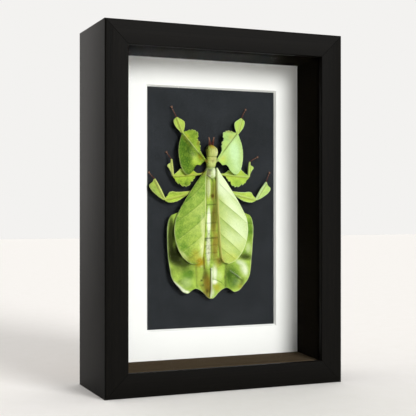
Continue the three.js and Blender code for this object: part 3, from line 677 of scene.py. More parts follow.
# A spot is (amount, across, along, wide, tall), then its hardness and its turn where they aren't 1 and 0.
# The left wing's: olive base, cream along the inner margin, and orange at the tip
leftWingSpots = {
    "dark": [(0.18, -9, 76, 3, 6), (0.2, -6.5, 80.5, 2, 2)],
    "stain": [(0.45, -6, 82.5, 2.6, 2.6, 1.5), (0.5, -9.6, 25, 2.4, 1.4, 1.3, 15)],
    "pale": [(0.55, -6.6, 46, 1.6, 9, 1.5, 4), (0.8, -7.2, 33.5, 1.7, 5.5, 1.5, 5),
        (0.35, -20, 29.5, 4.5, 1.1, 1.5, -42)],
    "warm": [(0.4, -11.8, 29.5, 2.6, 3.6, 1.3, 20), (0.85, -8.6, 25.4, 2.6, 2.2, 1.3, 15),
        (0.25, -15, 26.5, 4, 2, 1, -20)],
}
# The right wing's: white shoulder and middle as painted highlight, fresh green along the outer margin, and a
# warm tip
rightWingSpots = {
    "pale": [(0.95, 7.5, 74, 5, 9, 2, 30), (0.9, 5.5, 83, 2.2, 4, 2), (0.6, 14, 62, 5, 7, 1.5, 40),
        (0.35, 19, 50, 5, 5, 1.3, 40), (0.3, 20, 42, 4, 5, 1.3, 30)],
    "fresh": [(0.6, 23.5, 36, 2.2, 4.5, 1.3, 15), (0.5, 9, 30, 3, 6, 1, 10)],
    "warm": [(0.16, 15, 27, 6, 2.5, 1, -25)], "stain": [(0.25, 8.4, 26, 1.6, 2)],
}


def leftWingMarks(across, along, shares, panel, foldLine, mainLine, sides):
    marks = newMarks(across, 0.2)
    lay(marks, fresh=0.6 * (1 - panel) * smoothStep(1.0, 0.2, shares) * smoothStep(80, 60, along))
    lay(marks, fresh=0.6 * smoothStep(62, 30, along) * smoothStep(1.0, 0.3, shares))
    lay(marks, fresh=0.3 * foldLine)
    lay(marks, pale=0.2 * (1 - panel) * smoothStep(0.75, 0.1, shares) * smoothStep(74, 58, along))
    lay(marks, pale=0.12 * foldLine + 0.45 * bell(sides, 0.4))
    lay(marks, pale=0.5 * mainLine * smoothStep(86, 78, along))
    lay(marks, dark=0.1 * bell(panel - 0.94, 0.07) * smoothStep(0, 0.2, shares))
    layAll(marks, across, along, leftWingSpots)
    return marks


def rightWingMarks(across, along, shares, panel, foldLine, mainLine, sides):
    marks = newMarks(across, 0.35)
    outward = smoothStep(0.05, 0.55, shares)
    # Paler towards each lower vein and outwards, and darker just below each vein: painted light and painted
    # shade of the panels
    lay(marks, fresh=0.55 * panel + 0.2 * smoothStep(50, 30, along))
    lay(marks, pale=(0.15 + 0.35 * panel * outward + 0.25 * outward) * smoothStep(24, 46, along))
    layAll(marks, across, along, rightWingSpots)
    below = bell(panel, 0.3) * smoothStep(72, 62, along)
    lay(marks, pale=-0.6 * below * smoothStep(0.95, 0.5, shares))
    lay(marks, dark=0.16 * bell(panel - 0.02, 0.035) * smoothStep(1, 0.7, shares))
    rim = bell(sides, 0.5)
    lay(marks, pale=0.45 * rim * (shares > 0.5), warm=0.5 * rim * (shares < 0.5) * smoothStep(84, 78, along))
    lay(marks, pale=0.25 * mainLine, warm=0.5 * mainLine * smoothStep(72, 60, along), fresh=0.8 * mainLine)
    return marks


for side, sideName, paint in ((-1, "left", leftWingMarks), (1, "right", rightWingMarks)):
    name = "fore_wing_" + sideName
    settle(wingPiece(side, name, finishes[sideName + "Wing"], paint), "wing", name)
print("wings ready")


# One skin from the head to the tail, over head, thorax and abdomen

skin = {
    "halfWidth": [[65.4, 5.2], [66, 4.9], [69, 4.8], [74, 4.8], [78.5, 4.3], [81.5, 4.3], [84.6, 3.7],
        [86.2, 3.1], [86.8, 3.1], [88, 3.3], [90, 3.45], [92, 3.6], [93.1, 3.55], [93.6, 3.35], [94.2, 3.5],
        [96.4, 3.72], [98.2, 3.68], [99.3, 3.2], [100, 2.7], [100.8, 1.9], [101.6, 1.05], [102, 0.42]],
    "lean": [[86, 0.1], [90, 0.3], [93, 0.5], [96, 0.75], [98.5, 0.6], [100, 0.35], [102, 0.1]],
    "under": [[65.4, 0.6], [74, 0.4], [84, 0.6], [86.4, 1.2], [90, 1.4], [92, 1.6], [93.5, 2], [94.8, 1.4],
        [98, 0.9], [101, 1.2], [102, 2.8]],
    "shoulder": [[65.4, 4.5], [69, 4.7], [78, 4.8], [84.6, 4.9], [86.3, 5.2], [88, 5.9], [90, 6.4],
        [92.5, 6.6], [93.5, 6.1], [94.8, 6.9], [96.6, 7.4], [98.6, 7.1], [100, 6.3], [101.1, 5.4],
        [102, 4.3]],
    "ridge": [[60, 0.4], [66, 1], [70, 1.4], [75, 1.55], [78.5, 1.3], [81, 2.1], [83, 2.4], [85.2, 2.1],
        [86.4, 1.2], [87.2, 0.6], [89, 0.3], [93, 0.2], [95, 0], [102, 0]],
    "ridgeWidth": 2.7, "sutures": [78.55, 86.5, 93.5], "rows": 140, "columns": 171, "sutureDepth": 0.5,
    "sutureWidth": 0.28, "join": 65.7, "front": 102,
}
thoraxRelief = {
    # The pronotum's cross-shaped pit and its raised front rim, then what each side has
    "dabs": [[-0.4, 0, 90.2, 0.45, 1.3], [-0.3, 0, 90.6, 1.7, 0.35], [0.22, 0, 92.6, 3.6, 0.4]],
    "sideDabs": [[0.3, 1.9, 97.5, 1.1, 2], [0.25, 2, 84, 0.9, 1.4]],
    "sideStrokes": [[-0.4, 3.2, 82.6, 0.5, 79.8, 0.35], [-0.3, 1.5, 101, 2.1, 96, 0.4]],
}
# The outline's rows are [along at the midline, across at the margin, along at the margin]
abdomen = {
    "outline": [[65.6, 5.2, 65.4], [63.5, 9.5, 63.4], [61, 17, 60], [58.2, 24.8, 56.3], [56.3, 28, 55],
        [53.5, 29.7, 52.3], [50.3, 30.4, 49.4], [47, 30.8, 46.2], [43.2, 30.8, 42], [39.2, 30.6, 38],
        [35.2, 30.4, 33.6], [31.2, 30.1, 29], [27.4, 29.5, 24.4], [24, 28.9, 20], [21.2, 28.2, 15.8],
        [19.4, 26.6, 12.2], [18.3, 23.4, 8.5], [17.4, 19.8, 4.8], [16.5, 16.8, 3.9], [14.2, 14, 5.8],
        [11.6, 11, 6.9], [8.6, 8.3, 6], [5.4, 5.3, 3.8], [2.4, 2.7, 1], [0.2, 1.1, 0]],
    "plane": 4.5, "belly": [[0, 0.6], [6, 1.6], [16, 3], [34, 3.7], [66, 3.6]], "bellyWidth": 7.5,
    "keel": [[0, 0.5], [3, 1.2], [8, 1.9], [16, 1.9], [21, 1.3], [25, 0.8]],
    "strip": [[20, 0], [27, 0.9], [66, 0.9]],
    "segments": [[62, 0.9], [56.5, 0.35], [50, 0.6], [44.8, 0.4], [40, 0.95], [35.4, 0.35], [30.3, 0.5],
        [25.6, 0.4]],
    "rows": 191, "edgeReach": 0.5,
}
abdomenRelief = {
    # A suture each side, the right side's valley, its raised fold and creases, and a dent on the left
    "dabs": [[-1.3, 13.6, 15, 2.6, 8], [1.2, 24.4, 19, 3, 5.5, 1, 15], [-0.9, 25.5, 27.2, 4.6, 1.9, 1, -8],
             [-0.9, -24, 26, 5, 3.4, 1.5]],
    "strokes": [[-0.6, -11, 23, -10.2, 7.5, 0.9], [-0.6, 11, 23, 10.2, 7.5, 0.9],
                [0.35, 14, 18, 20.3, 13.3, 0.45], [-0.4, 14.7, 16.8, 21, 11.7, 0.5],
                [-0.3, 0.2, 13.2, 7.3, 10.4, 0.3]],
}


def skinRows():
    # Places of every row: along at the midline, across and along at the margin
    back, front = skin["join"], skin["front"]
    forward = back + (front - back) * np.sin(np.linspace(1, 0, skin["rows"]) * math.pi / 2)
    outline = np.array(abdomen["outline"])
    order = np.linspace(0, len(outline) - 1, abdomen["rows"])
    rear = [readStops(np.stack([np.arange(len(outline)), column], 1), order) for column in outline.T]
    middle = np.concatenate([forward, rear[0]])
    edge = np.concatenate([readStops(skin["halfWidth"], forward), rear[1]])
    return middle[:, None], edge[:, None], np.concatenate([forward, rear[2]])[:, None]


def skinPiece():
    middle, edge, edgeAlong = skinRows()
    column = np.linspace(-1, 1, skin["columns"])[None, :]
    behind = smoothStep(66, 60, middle)
    flat = np.sign(column) * (0.45 * np.abs(column) + 0.55 * column ** 2)
    shares = (1 - behind) * np.sin(column * math.pi / 2) + behind * flat
    across = edge * shares
    along = middle + (edgeAlong - middle) * np.abs(shares)
    inward = edge * (1 - np.abs(shares))
    thoraxTop, thoraxUnder = thoraxHeights(across, along, shares)
    abdomenTop, abdomenUnder = abdomenHeights(across, along, inward)
    top = thoraxTop * (1 - behind) + abdomenTop * behind
    under = thoraxUnder * (1 - behind) + abdomenUnder * behind
    marks = skinMarks(across, along, inward, behind)
    across = across + readStops(skin["lean"], along)
    return leafSheet("body_skin", across, along, top, under, marks, finishes["body"])


def thoraxHeights(across, along, shares):
    low, high = readStops(skin["under"], along), readStops(skin["shoulder"], along)
    middle = (low + high) / 2
    power = 2.3 + 0.7 * smoothStep(92, 95, along) * smoothStep(101, 99, along)
    round_ = np.clip(1 - np.abs(shares) ** power, 0, 1) ** (1 / power)
    top = middle + (high - middle) * round_
    top = top + readStops(skin["ridge"], along) * np.exp(-np.abs(across / skin["ridgeWidth"]) ** 3)
    for suture in skin["sutures"]:
        top = top - skin["sutureDepth"] * bell(along - suture, skin["sutureWidth"])
    top = top + relief(across, along, thoraxRelief["dabs"], [])
    for turn in (-1, 1):
        top = top + relief(turn * across, along, thoraxRelief["sideDabs"], thoraxRelief["sideStrokes"])
    top = top - 0.9 * smoothStep(79.5, 77.5, along) * bell(across, 1.2)
    return top, middle - (middle - low) * round_


def abdomenHeights(across, along, inward):
    size = np.abs(across)
    plane = abdomen["plane"] + 1.7 * dab(size, along, 18.5, 12.5, 7, 7, 1.3)
    plane = plane - 0.9 * dab(size, along, 27, 32, 6, 10, 1.3)
    crest = np.exp(-((size / 2.6) ** 1.2)) * readStops(abdomen["keel"], along) * smoothStep(27, 20, along)
    trough = (np.exp(-((size / 5.2) ** 6)) - 0.9 * bell(size, 1.9)) * readStops(abdomen["strip"], along)
    top = plane + crest + trough
    for segment, depth in abdomen["segments"]:
        top = top - 0.22 * depth * bell(along - segment + 0.1 * size, 0.35) * np.exp(-((size / 5) ** 4))
    top = top + 0.15 * bell(inward, 0.7) - 0.25 * bell(inward - 3, 1.8)
    top = top + relief(across, along, **abdomenRelief)
    full = readStops(abdomen["belly"], along) * bell(across, abdomen["bellyWidth"])
    rim = np.sqrt(np.clip(inward / abdomen["edgeReach"], 0.03, 1))
    under = plane - insect["membrane"] - full
    centre = plane - insect["membrane"] / 2
    return centre + (top - centre) * rim, centre + (under - centre) * rim


# Flanks: painted shadow beside the left wing, both lobes with painted shade and highlights, and the right
# one's painted highlight on its fold with a painted shaded wedge over it
flankSpots = {
    "dark": [(0.95, -28, 41, 2.5, 14, 3), (0.98, -24.8, 29, 5.4, 7, 3), (0.88, -18.8, 24, 5.8, 3, 2, 8),
        (0.5, -19.5, 20.4, 7.4, 2.6, 1.1, 8), (0.16, -14, 17, 4, 4), (0.4, -22.8, 12, 1.3, 0.8, 1, 20),
        (0.35, -21.4, 10.7, 0.9, 0.6), (0.4, -27.8, 18.5, 1.4, 3.4, 1, 12), (0.42, 12.8, 17, 2.1, 5.4, 1.3),
        (0.28, 16, 14, 5, 7.4, 1.5), (0.6, 21.8, 10.8, 1.6, 2.8, 1.3, -20),
        (0.85, 25.2, 27.2, 5.2, 2.3, 2, -8), (0.3, 27.6, 56, 2.4, 2)],
    "fresh": [(-0.9, -16.5, 16.6, 4.4, 3.2, 1.3), (-0.4, -20, 14, 4, 5), (0.6, -24.5, 14, 2.4, 4, 1.3),
        (-0.95, 15, 14, 4.6, 8, 2), (0.6, 17, 5, 4, 1), (-0.5, 25, 30.5, 4.4, 1.6, 1.3, -6),
        (-0.9, 28.2, 46, 2.4, 7.5, 2)],
    "pale": [(0.14, -18, 11, 4, 3.4, 1.5), (0.1, 17.6, 10.5, 2.6, 2.4),
        (0.6, 23.6, 19.5, 2.7, 4.8, 1.4, 14), (0.55, 24.3, 18, 1.3, 2.6, 1.2, 10),
        (0.5, 20.4, 23.6, 2.6, 1.5, 1.5, -22), (0.3, 27.4, 33, 1.9, 3.4, 1.5)],
    "warm": [(0.45, 20.8, 7.6, 1.8, 1.6)],
}
# Tail: an orange patch and a brown spot either side of the keel, whose left face is brown with painted shade
# and right one painted pale as lit; the keel's pale ridge line and dark left border are painted highlight
# and painted shade
tailSpots = {
    "stain": [(0.2, -8.3, 14, 2, 6, 1.5), (0.55, -9, 24.2, 2.6, 1.4, 1, 15),
        (0.85, -3.3, 9.4, 2.8, 8.2, 1.7, 6), (0.95, 5.9, 24.6, 2.3, 2.9, 1.5, 20)],
    "fresh": [(0.5, -9, 12, 2, 5), (0.8, 6.6, 15.5, 2.2, 3.4)],
    "warm": [(0.9, -8, 23.8, 3.6, 2.6, 1.4, 15), (0.12, -10.4, 18, 2, 4), (0.35, -3, 10, 2.4, 7, 1.5, 6),
        (0.55, -2.4, 10, 0.9, 3.5), (0.5, 3.8, 7.4, 3.2, 2.4, 1.3, -30), (0.3, 4, 21, 2, 2)],
    "pale": [(0.4, -6.9, 21.6, 0.9, 0.7), (0.8, 2.3, 17, 1.9, 4.6, 1.5), (1.0, 2.1, 11, 2.1, 1.6, 1.6),
        (0.5, 0.9, 4, 1.1, 2.6), (0.2, 6.2, 15, 1.6, 2.5)],
    "dark": [(0.2, -3.6, 11, 2.6, 7, 1.5, 6), (0.6, -4.4, 17, 1.6, 4, 1.3), (0.9, -6.9, 12.2, 0.8, 0.7),
        (0.6, -5.8, 14, 0.8, 0.9), (0.7, -3, 5, 1.1, 1.8), (0.6, -6, 9, 0.9, 0.9),
        (0.55, 6.1, 24.8, 1.3, 1.9, 1, 20)],
}
# A line is (amount, across, along, to across, to along, width)
tailLines = {
    "pale": [(0.85, -26.6, 11.5, -20, 6.2, 0.9), (0.95, -20, 5.8, -16.4, 4.9, 0.8),
        (0.95, -0.2, 20, -0.4, 1, 0.42), (0.35, 14, 18, 20.3, 13.3, 0.35)],
    "dark": [(0.3, -10.8, 21, -10.3, 9, 0.8), (0.45, -5.4, 27, -5, 20, 0.5),
        (0.8, -1.0, 20, -1.3, 1.6, 0.38), (0.42, 0.2, 13.2, 4, 12.2, 0.26),
        (0.42, 4, 12.2, 7.3, 10.4, 0.26), (0.4, 7.3, 10.4, 8.8, 8.8, 0.26), (0.42, 11, 23.5, 10.1, 14, 1.1),
        (0.42, 10.1, 14, 10.3, 7, 0.9), (0.6, 14.7, 16.8, 21, 11.7, 0.45),
        (0.4, 26, 49.6, 30.2, 49.7, 0.35), (0.25, 26, 43.8, 30.2, 44, 0.3),
        (0.25, -29.6, 49.8, -26, 49.6, 0.3)],
    "stain": [(0.6, -5.6, 27.5, -5, 20, 0.7), (0.6, -8, 10, -5, 4.5, 0.6), (0.6, -5, 4.5, -1.5, 1, 0.6)],
}
# Strip between the wings: cream and silver on its left half as painted light, olive and brown on its right
# one as painted shade
stripSpots = {
    "fresh": [(0.8, -2, 73, 1.9, 7.5, 3)],
    "warm": [(0.16, -2, 72, 1.9, 8, 3), (0.15, 2.6, 44, 2.2, 12, 2), (0.3, -5.4, 32, 1, 8, 2)],
    "pale": [(0.5, -2.1, 73, 1.2, 6.4, 3), (0.95, -1.9, 51, 1.5, 9, 2.5), (0.8, -2.2, 33, 1.7, 10, 2.5)],
    "stain": [(0.25, -1.8, 33, 2.4, 9, 2), (0.65, 1.4, 71, 1.6, 7.5, 3), (0.7, 2.1, 53, 2.1, 12, 3, -3),
        (0.8, 2.9, 36, 2.5, 8, 2.5, -6), (0.5, 2.8, 27.5, 2.2, 5, 2), (0.8, 0.6, 67.8, 1.3, 1.4, 1.5)],
    "dark": [(0.22, 1.4, 71, 1.6, 7.5, 3), (0.4, 2, 56, 1.9, 11, 3, -3), (0.5, 0.6, 67.8, 1.2, 1.2, 1.5),
        (0.6, -4.1, 39.2, 0.9, 1), (0.6, 0.9, 40.2, 1.1, 0.7)],
}
# Lines beside the wings' inner margins and down the middle; those beside the right wing are painted shade in
# the gap under its edge
stripLines = {
    "stain": [(0.7, -3.6, 80, -3.7, 66, 0.4), (0.7, -3.7, 66, -4.8, 47, 0.45),
        (0.7, -4.8, 47, -5.6, 33, 0.5), (0.85, 3.5, 80, 3.5, 66, 0.7)],
    "dark": [(0.45, -3.6, 80, -3.7, 66, 0.25), (0.5, -3.7, 66, -4.8, 47, 0.28),
        (0.5, -4.8, 47, -5.6, 33, 0.3), (0.45, -0.4, 79, -0.3, 66, 0.24), (0.3, 3.1, 79, 3.1, 66, 0.3),
        (0.3, 3.1, 66, 4.4, 42, 0.3), (0.5, -0.1, 66, 0.1, 26, 0.25)],
}
# Head and pronotum, yellow with painted olive shade on their left sides and painted light on the head's
# right side, and the mesothorax with its pale shield
headSpots = {
    "fresh": [(0.9, 0.6, 96, 3.4, 5, 2), (0.8, 0.4, 90, 2.6, 3.6, 2), (-0.4, -2, 98, 1, 2.6, 1.5)],
    "warm": [(0.26, 0, 96, 4, 6, 3), (0.2, 0, 90, 3.4, 3.4, 3), (0.7, 0, 100.4, 1.7, 1.5, 1.5)],
    "stain": [(0.3, -3.5, 96.5, 0.7, 4.5, 1.5), (0.3, -3.3, 89.8, 0.6, 3.2, 1.5),
        (0.3, 1.9, 98.9, 0.5, 0.8, 1, 20), (0.22, -0.4, 96.6, 0.5, 1.2), (0.22, 1.2, 97.4, 0.4, 0.9),
        (0.25, -1, 90.6, 0.5, 0.8), (0.25, 1.1, 91.2, 0.45, 1), (0.85, -0.2, 101.3, 2, 0.9, 1.5),
        (0.25, -0.4, 98.6, 1, 1), (0.3, 0, 87.2, 3, 0.7), (0.45, -2.6, 82.6, 1.7, 3.2, 1.5)],
    "pale": [(0.24, 0.4, 96, 3.4, 4.4, 2), (0.3, 2.3, 96.5, 1.5, 3.8, 1.5), (0.28, 0.4, 90, 3, 3.4, 2),
        (0.4, 0, 83, 3.4, 3.6, 2), (0.75, 1.7, 83.2, 1.5, 2.7, 1.4), (0.4, -2.9, 83.6, 0.8, 2.2, 1.5),
        (0.85, -1.9, 81.1, 0.9, 0.8, 1.3)],
    "dark": [(0.35, -0.8, 101.8, 1.4, 0.7), (0.35, 0, 90.2, 0.4, 1.1), (0.2, 0, 90.6, 1.6, 0.3),
        (0.5, -1.3, 84.6, 1, 1, 1.3), (0.4, -0.4, 85.4, 0.5, 0.5), (0.85, 2.4, 79.5, 0.65, 0.7, 1.3)],
}
headLines = {
    "dark": [(0.75, -3.5, 81.8, -1.3, 79.6, 0.32), (0.6, -1.3, 79.6, 0.3, 78.8, 0.3),
        (0.6, 0.3, 78.8, 0.5, 77.4, 0.35), (0.4, 0.2, 78.6, 2.4, 80.6, 0.3),
        (0.45, -3.8, 93.5, 3.8, 93.5, 0.26), (0.45, -3, 86.5, 3, 86.5, 0.3)],
    "stain": [(0.4, 1.3, 101, 1.9, 97, 0.3), (0.4, -1.3, 101, -1.9, 97, 0.3)],
}
speckles = {
    "count": 46, "seed": 7, "across": (-4.4, 0.3), "along": (19, 43), "size": (0.16, 0.42),
    "amount": (0.25, 0.6),
}


def skinMarks(across, along, inward, behind):
    marks = newMarks(across, 0.66)
    lay(marks, pale=0.4 * bell(inward, 0.4) * behind * smoothStep(58, 48, along))
    for spots in (flankSpots, tailSpots, stripSpots, headSpots):
        layAll(marks, across, along, spots)
    for lines in (tailLines, stripLines, headLines):
        layAll(marks, across, along, lines, stroke)
    for segment, depth in abdomen["segments"]:
        suture = stroke(across, along, -4.4, segment - 0.3, 4.2, segment + 0.2, 0.34)
        lay(marks, dark=0.7 * depth * suture)
    draw = np.random.default_rng(speckles["seed"])
    for _ in range(speckles["count"]):
        x, y = draw.uniform(*speckles["across"]), draw.uniform(*speckles["along"])
        size, amount = draw.uniform(*speckles["size"]), draw.uniform(*speckles["amount"])
        lay(marks, dark=amount * dab(across, along, x, y, size, size * draw.uniform(1, 2)))
    return marks


settle(skinPiece(), "thorax", "head", "prothorax", "mesothorax", "metathorax", "abdomen")
print("body ready")


# Legs. Each joint is [across, along, height]: the coxa, the knee, the ankle and the toe.

poses = {
    "left": {
        "fore": [[-4.5, 90.9, 5], [-20, 108.8, 4.2], [-23.7, 118.8, 3.1], [-26.4, 125.5, 1.2]],
        "mid": [[-5.7, 82.4, 3.4], [-26.6, 80.5, 4], [-27.5, 91.6, 3.4], [-30, 96, 1.2]],
        "hind": [[-5.8, 71.5, 3.3], [-32.2, 65.3, 4], [-39.1, 78.6, 3.6], [-42.1, 82.7, 1.4]],
    },
    "right": {
        "fore": [[4.5, 91.1, 5], [19.2, 109.1, 4.2], [22.5, 119.6, 3.1], [26.5, 125.7, 1.2]],
        "mid": [[5.7, 82.4, 3.4], [27.5, 80.5, 4], [28.5, 90.8, 3.4], [35.3, 94.1, 1.2]],
        "hind": [[5.8, 71.5, 3.3], [32.8, 65.4, 4], [40.8, 77.2, 3.6], [44.3, 83.6, 1.3]],
    },
}
coxaRoots = {"fore": [1.6, 89.4, 3.8], "mid": [3, 83.2, 3], "hind": [3, 72.2, 2.8]}
# A lobe's stops are [distance along its shaft, width out from the shaft]
lobes = {
    "fore": {
        "femurOuter": [[0, 0.9], [1, 15.6], [2.6, 16.6], [5.5, 16.5], [8.5, 15.5], [11, 14.2], [14.5, 11.9],
            [17.2, 9.6], [20.4, 5.8], [22.2, 2.8], [23.3, 0.9]],
        "femurInner": [[0, 0.9], [5.4, 1.5], [7.3, 2.2], [9.4, 4.2], [11.6, 5.4], [13.7, 5.5], [15, 7.4],
            [17.3, 8.5], [18.8, 8], [20.6, 6.8], [22, 4.6], [23.3, 0.9]],
        "tibiaOuter": [[0, 0.8], [2.4, 1.9], [5, 3], [7.5, 3.3], [9.6, 2.8], [10.6, 0.8]],
        "tibiaInner": [[0, 0.8], [1.1, 1.5], [2.6, 2.6], [4.4, 3.6], [6, 4], [7.8, 3.2], [10, 1.1],
            [10.6, 0.8]],
    },
    "mid": {
        "femurOuter": [[0, 0.9], [4, 1], [6.5, 3.4], [9, 5.8], [11, 7.4], [12.9, 8.1], [15, 7.7], [18, 6.3],
            [20, 4.8], [21.4, 2.6], [22.3, 0.9]],
        "femurInner": [[0, 0.4], [3.4, 0.5], [5, 1.2], [6.4, 2.8], [8, 3.5], [12, 4.6], [16, 4.7],
            [18.5, 3], [20.6, 1.7], [22.3, 0.8]],
        "tibiaOuter": [[0, 0.7], [2, 1.1], [4.5, 2.1], [6.4, 3.3], [7.2, 2.9], [8.4, 0.8], [10.4, 0.6]],
        "tibiaInner": [[0, 0.7], [5, 0.8], [10.4, 0.6]],
    },
    "hind": {
        "femurOuter": [[0, 0.8], [10, 0.9], [13.6, 1.2], [16, 2], [18.5, 2.8], [21.9, 3.3], [24.9, 3.1],
            [27, 2.6], [28.4, 1.6], [29.2, 0.9]],
        "femurInner": [[0, 0.8], [6, 1], [10.7, 1.8], [15.9, 2.4], [20, 3.2], [22.9, 4.1], [24.6, 4.1],
            [26, 3], [27.6, 1.6], [29.2, 0.9]],
        "tibiaOuter": [[0, 1], [3, 2.9], [5.7, 4.2], [8.7, 5.3], [11, 5.6], [12.7, 5], [13.1, 2.4],
            [14.2, 0.7]],
        "tibiaInner": [[0, 0.7], [7, 1], [14.2, 0.6]],
    },
}
# The bay is how far the fore femur's base edge runs forwards, by width out from the shaft
legSizes = {
    "shaft": 1.4, "shaftWidth": 0.42, "foreLift": 0.06, "rows": 181, "columns": 61,
    "bay": [[0, 0], [2.3, 0], [4.6, -0.4], [5.4, 0.5], [6.3, 1.4], [8.2, 1.2], [10.6, 0.1], [14.1, -0.4],
        [16.4, 0.2]],
    "edgeReach": 0.35, "rib": 0.025, "rim": 0.16, "cup": 0.35, "fineSteps": 1200,
}
# Teeth of each margin: depth, pitch, and how far they lean, from round scallops at 0 to saw teeth at 1
teeth = {
    ("fore", "femurOuter"): (0.3, 2.3, 0.2), ("fore", "femurInner"): (1.0, 2.3, 0),
    ("fore", "tibiaOuter"): (0.1, 1.5, 0.5), ("fore", "tibiaInner"): (0.15, 1.6, 0.5),
    ("mid", "femurOuter"): (1.5, 2.9, 0.75), ("mid", "femurInner"): (0.5, 2.4, 0.8),
    ("mid", "tibiaOuter"): (0.15, 1.5, 0.5), ("mid", "tibiaInner"): (0, 1, 0),
    ("hind", "femurOuter"): (0.4, 2.1, 0.7), ("hind", "femurInner"): (0.3, 2.4, 0.5),
    ("hind", "tibiaOuter"): (0.2, 1.9, 0.6), ("hind", "tibiaInner"): (0, 1, 0),
}
# Fresh and pale of the femur, then of the tibia; the left fore femur's deep green and the right one's
# paleness are painted shade and painted light
legTones = {
    ("left", "fore"): (0.05, 0.0, 0.75, 0.15), ("left", "mid"): (0.75, 0.0, 0.7, 0.45),
    ("left", "hind"): (0.85, 0.05, 0.5, 0.15), ("right", "fore"): (0.5, 0.35, 0.7, 0.1),
    ("right", "mid"): (0.7, 0.0, 0.8, 0.1), ("right", "hind"): (0.8, 0.05, 0.7, 0.25),
}
# Spots of each leg; the right fore femur's pale spots are painted light, and the dark band at the right mid
# femur's base is a painted shadow of the fore femur
legSpots = {
    ("left", "fore"): {
        "fresh": [(0.75, -11.5, 90.5, 3.6, 3.4, 1.3), (0.8, -8.6, 88.8, 2.6, 2, 1.3)],
        "dark": [(0.42, -8.3, 94, 1.1, 2.3, 1.3, 38), (0.3, -17.3, 82.6, 2.2, 1.2, 1.3),
            (0.25, -16.5, 99, 3, 6, 1, -15)],
        "warm": [(0.4, -8, 93.2, 1.4, 2.2, 1.3, 38), (0.3, -17, 106.4, 1.6, 1.8, 1.3)],
        "stain": [(0.5, -9, 103.4, 0.8, 4, 1.3, -12)], "pale": [(0.2, -12.2, 93.5, 1.6, 3.5, 1, 30)],
    },
    ("right", "fore"): {
        "pale": [(0.75, 16.8, 97, 3.8, 8, 1.5, 8), (0.4, 18.3, 87, 2.4, 3.4),
            (-0.7, 8.5, 90.5, 3.4, 3.2, 1.3)],
        "fresh": [(0.9, 8, 92, 3, 2.6, 1.3), (-0.5, 11, 106.5, 2.4, 2.8), (0.8, 21.6, 95, 0.9, 9, 1.5)],
        "warm": [(0.3, 8.4, 93, 2.2, 1.4, 1, 40), (0.3, 14.4, 107, 1.5, 2.2, 1.3, -40)],
        "stain": [(0.5, 13, 110.6, 3.8, 0.7, 1.3, -3), (0.5, 7.8, 105, 0.6, 3, 1.3)],
    },
    ("left", "mid"): {
        "fresh": [(-0.55, -17.6, 76, 3.2, 2)],
        "dark": [(0.35, -17.4, 75.2, 0.9, 0.6), (0.3, -21, 77.2, 0.8, 0.6)],
        "warm": [(0.25, -14, 82.5, 3, 1.2)], "pale": [(0.3, -22.5, 83.4, 2, 1.6, 1, 30)],
    },
    ("right", "mid"): {
        "dark": [(0.5, 14, 83, 4.2, 1.1, 1.5, -8), (0.25, 18.6, 77, 0.9, 0.8),
            (0.2, 22.5, 82.5, 2.4, 1, 1, 20)],
        "fresh": [(-0.5, 19, 76.6, 3, 2.4)],
    },
    ("left", "hind"): {
        "stain": [(0.45, -17, 71, 4.5, 0.7, 1.3, 3)], "pale": [(0.3, -15.5, 70.8, 2.4, 0.8)],
        "fresh": [(-0.3, -27.5, 69, 2.2, 0.9)], "dark": [(0.2, -24, 68.4, 3, 0.5, 1, 10)],
    },
    ("right", "hind"): {
        "stain": [(0.4, 16.8, 70.6, 4, 0.6, 1.3)],
        "dark": [(0.3, 24, 69, 1.4, 0.5, 1, -10), (0.2, 28, 67.6, 1.6, 0.5, 1, -20),
            (0.2, 20.6, 69.4, 1.4, 0.4, 1, -10)],
    },
}


def legLeaf(name, sideName, legName, part, material):
    side = -1 if sideName == "left" else 1
    broad = legName == "fore" and part == "femur"
    joints = np.array(poses[sideName][legName], float)
    start, end = joints[:2] if part == "femur" else joints[1:3]
    length = np.linalg.norm(end[:2] - start[:2])
    ahead = unit(end[:2] - start[:2])
    out = np.array([ahead[1], -ahead[0]]) * side
    margins = [lobeMargin(legName, part + lobe, length) for lobe in ("Outer", "Inner")]
    # Rows are set closer where a margin runs steeply away from the shaft
    arc = margins[0][3] + margins[1][3]
    t = np.interp(np.linspace(0, arc[-1], legSizes["rows"]), arc, margins[0][0])[:, None]
    column = np.linspace(-1, 1, legSizes["columns"])[None, :]
    shares = np.abs(column) ** 1.2
    alongShaft, width, inward = t + 0 * column, 0 * t * column, 0 * t * column
    for (places, widths, cuts, _), half in zip(margins, (column > 0, column <= 0)):
        plainWidth, cut = np.interp(t, places, widths), np.interp(t, places, cuts)
        width = np.where(half, np.sign(column) * (plainWidth * shares - cut * shares ** 2), width)
        inward = np.where(half, plainWidth * (1 - shares), inward)
    if broad:
        alongShaft = alongShaft + readStops(legSizes["bay"], np.maximum(width, 0)) * smoothStep(6, 0, t)
    across, along = (start[k] + ahead[k] * alongShaft + out[k] * width for k in range(2))
    centre = start[2] + (end[2] - start[2]) * np.clip(alongShaft / length, 0, 1)
    if broad:
        centre = centre + np.maximum(0, width) * legSizes["foreLift"]
    beyond = np.abs(width)
    shaft = bell(beyond, legSizes["shaftWidth"])
    edge = np.sqrt(np.clip(inward / legSizes["edgeReach"], 0.08, 1))
    blade = insect["membrane"] / 2 * edge
    ribs = legSizes["rib"] * np.sin(alongShaft * 1.9 - beyond * 0.9) * smoothStep(0.8, 3, beyond)
    cup = legSizes["rim"] * bell(inward - 0.4, 0.4)
    cup = cup - legSizes["cup"] * smoothStep(0.5, 4, inward) * smoothStep(0.6, 3, beyond)
    rise = (legSizes["shaft"] / 2 - insect["membrane"] / 2) * shaft
    top = centre + blade + rise + (cup + ribs) * edge
    bottom = centre - blade - rise * 0.9 + (cup * 0.8 + ribs) * edge
    marks = legMarks(sideName, legName, part, across, along, width, inward, shaft, t / length)
    return leafSheet(name, across, along, top, bottom, marks, material)


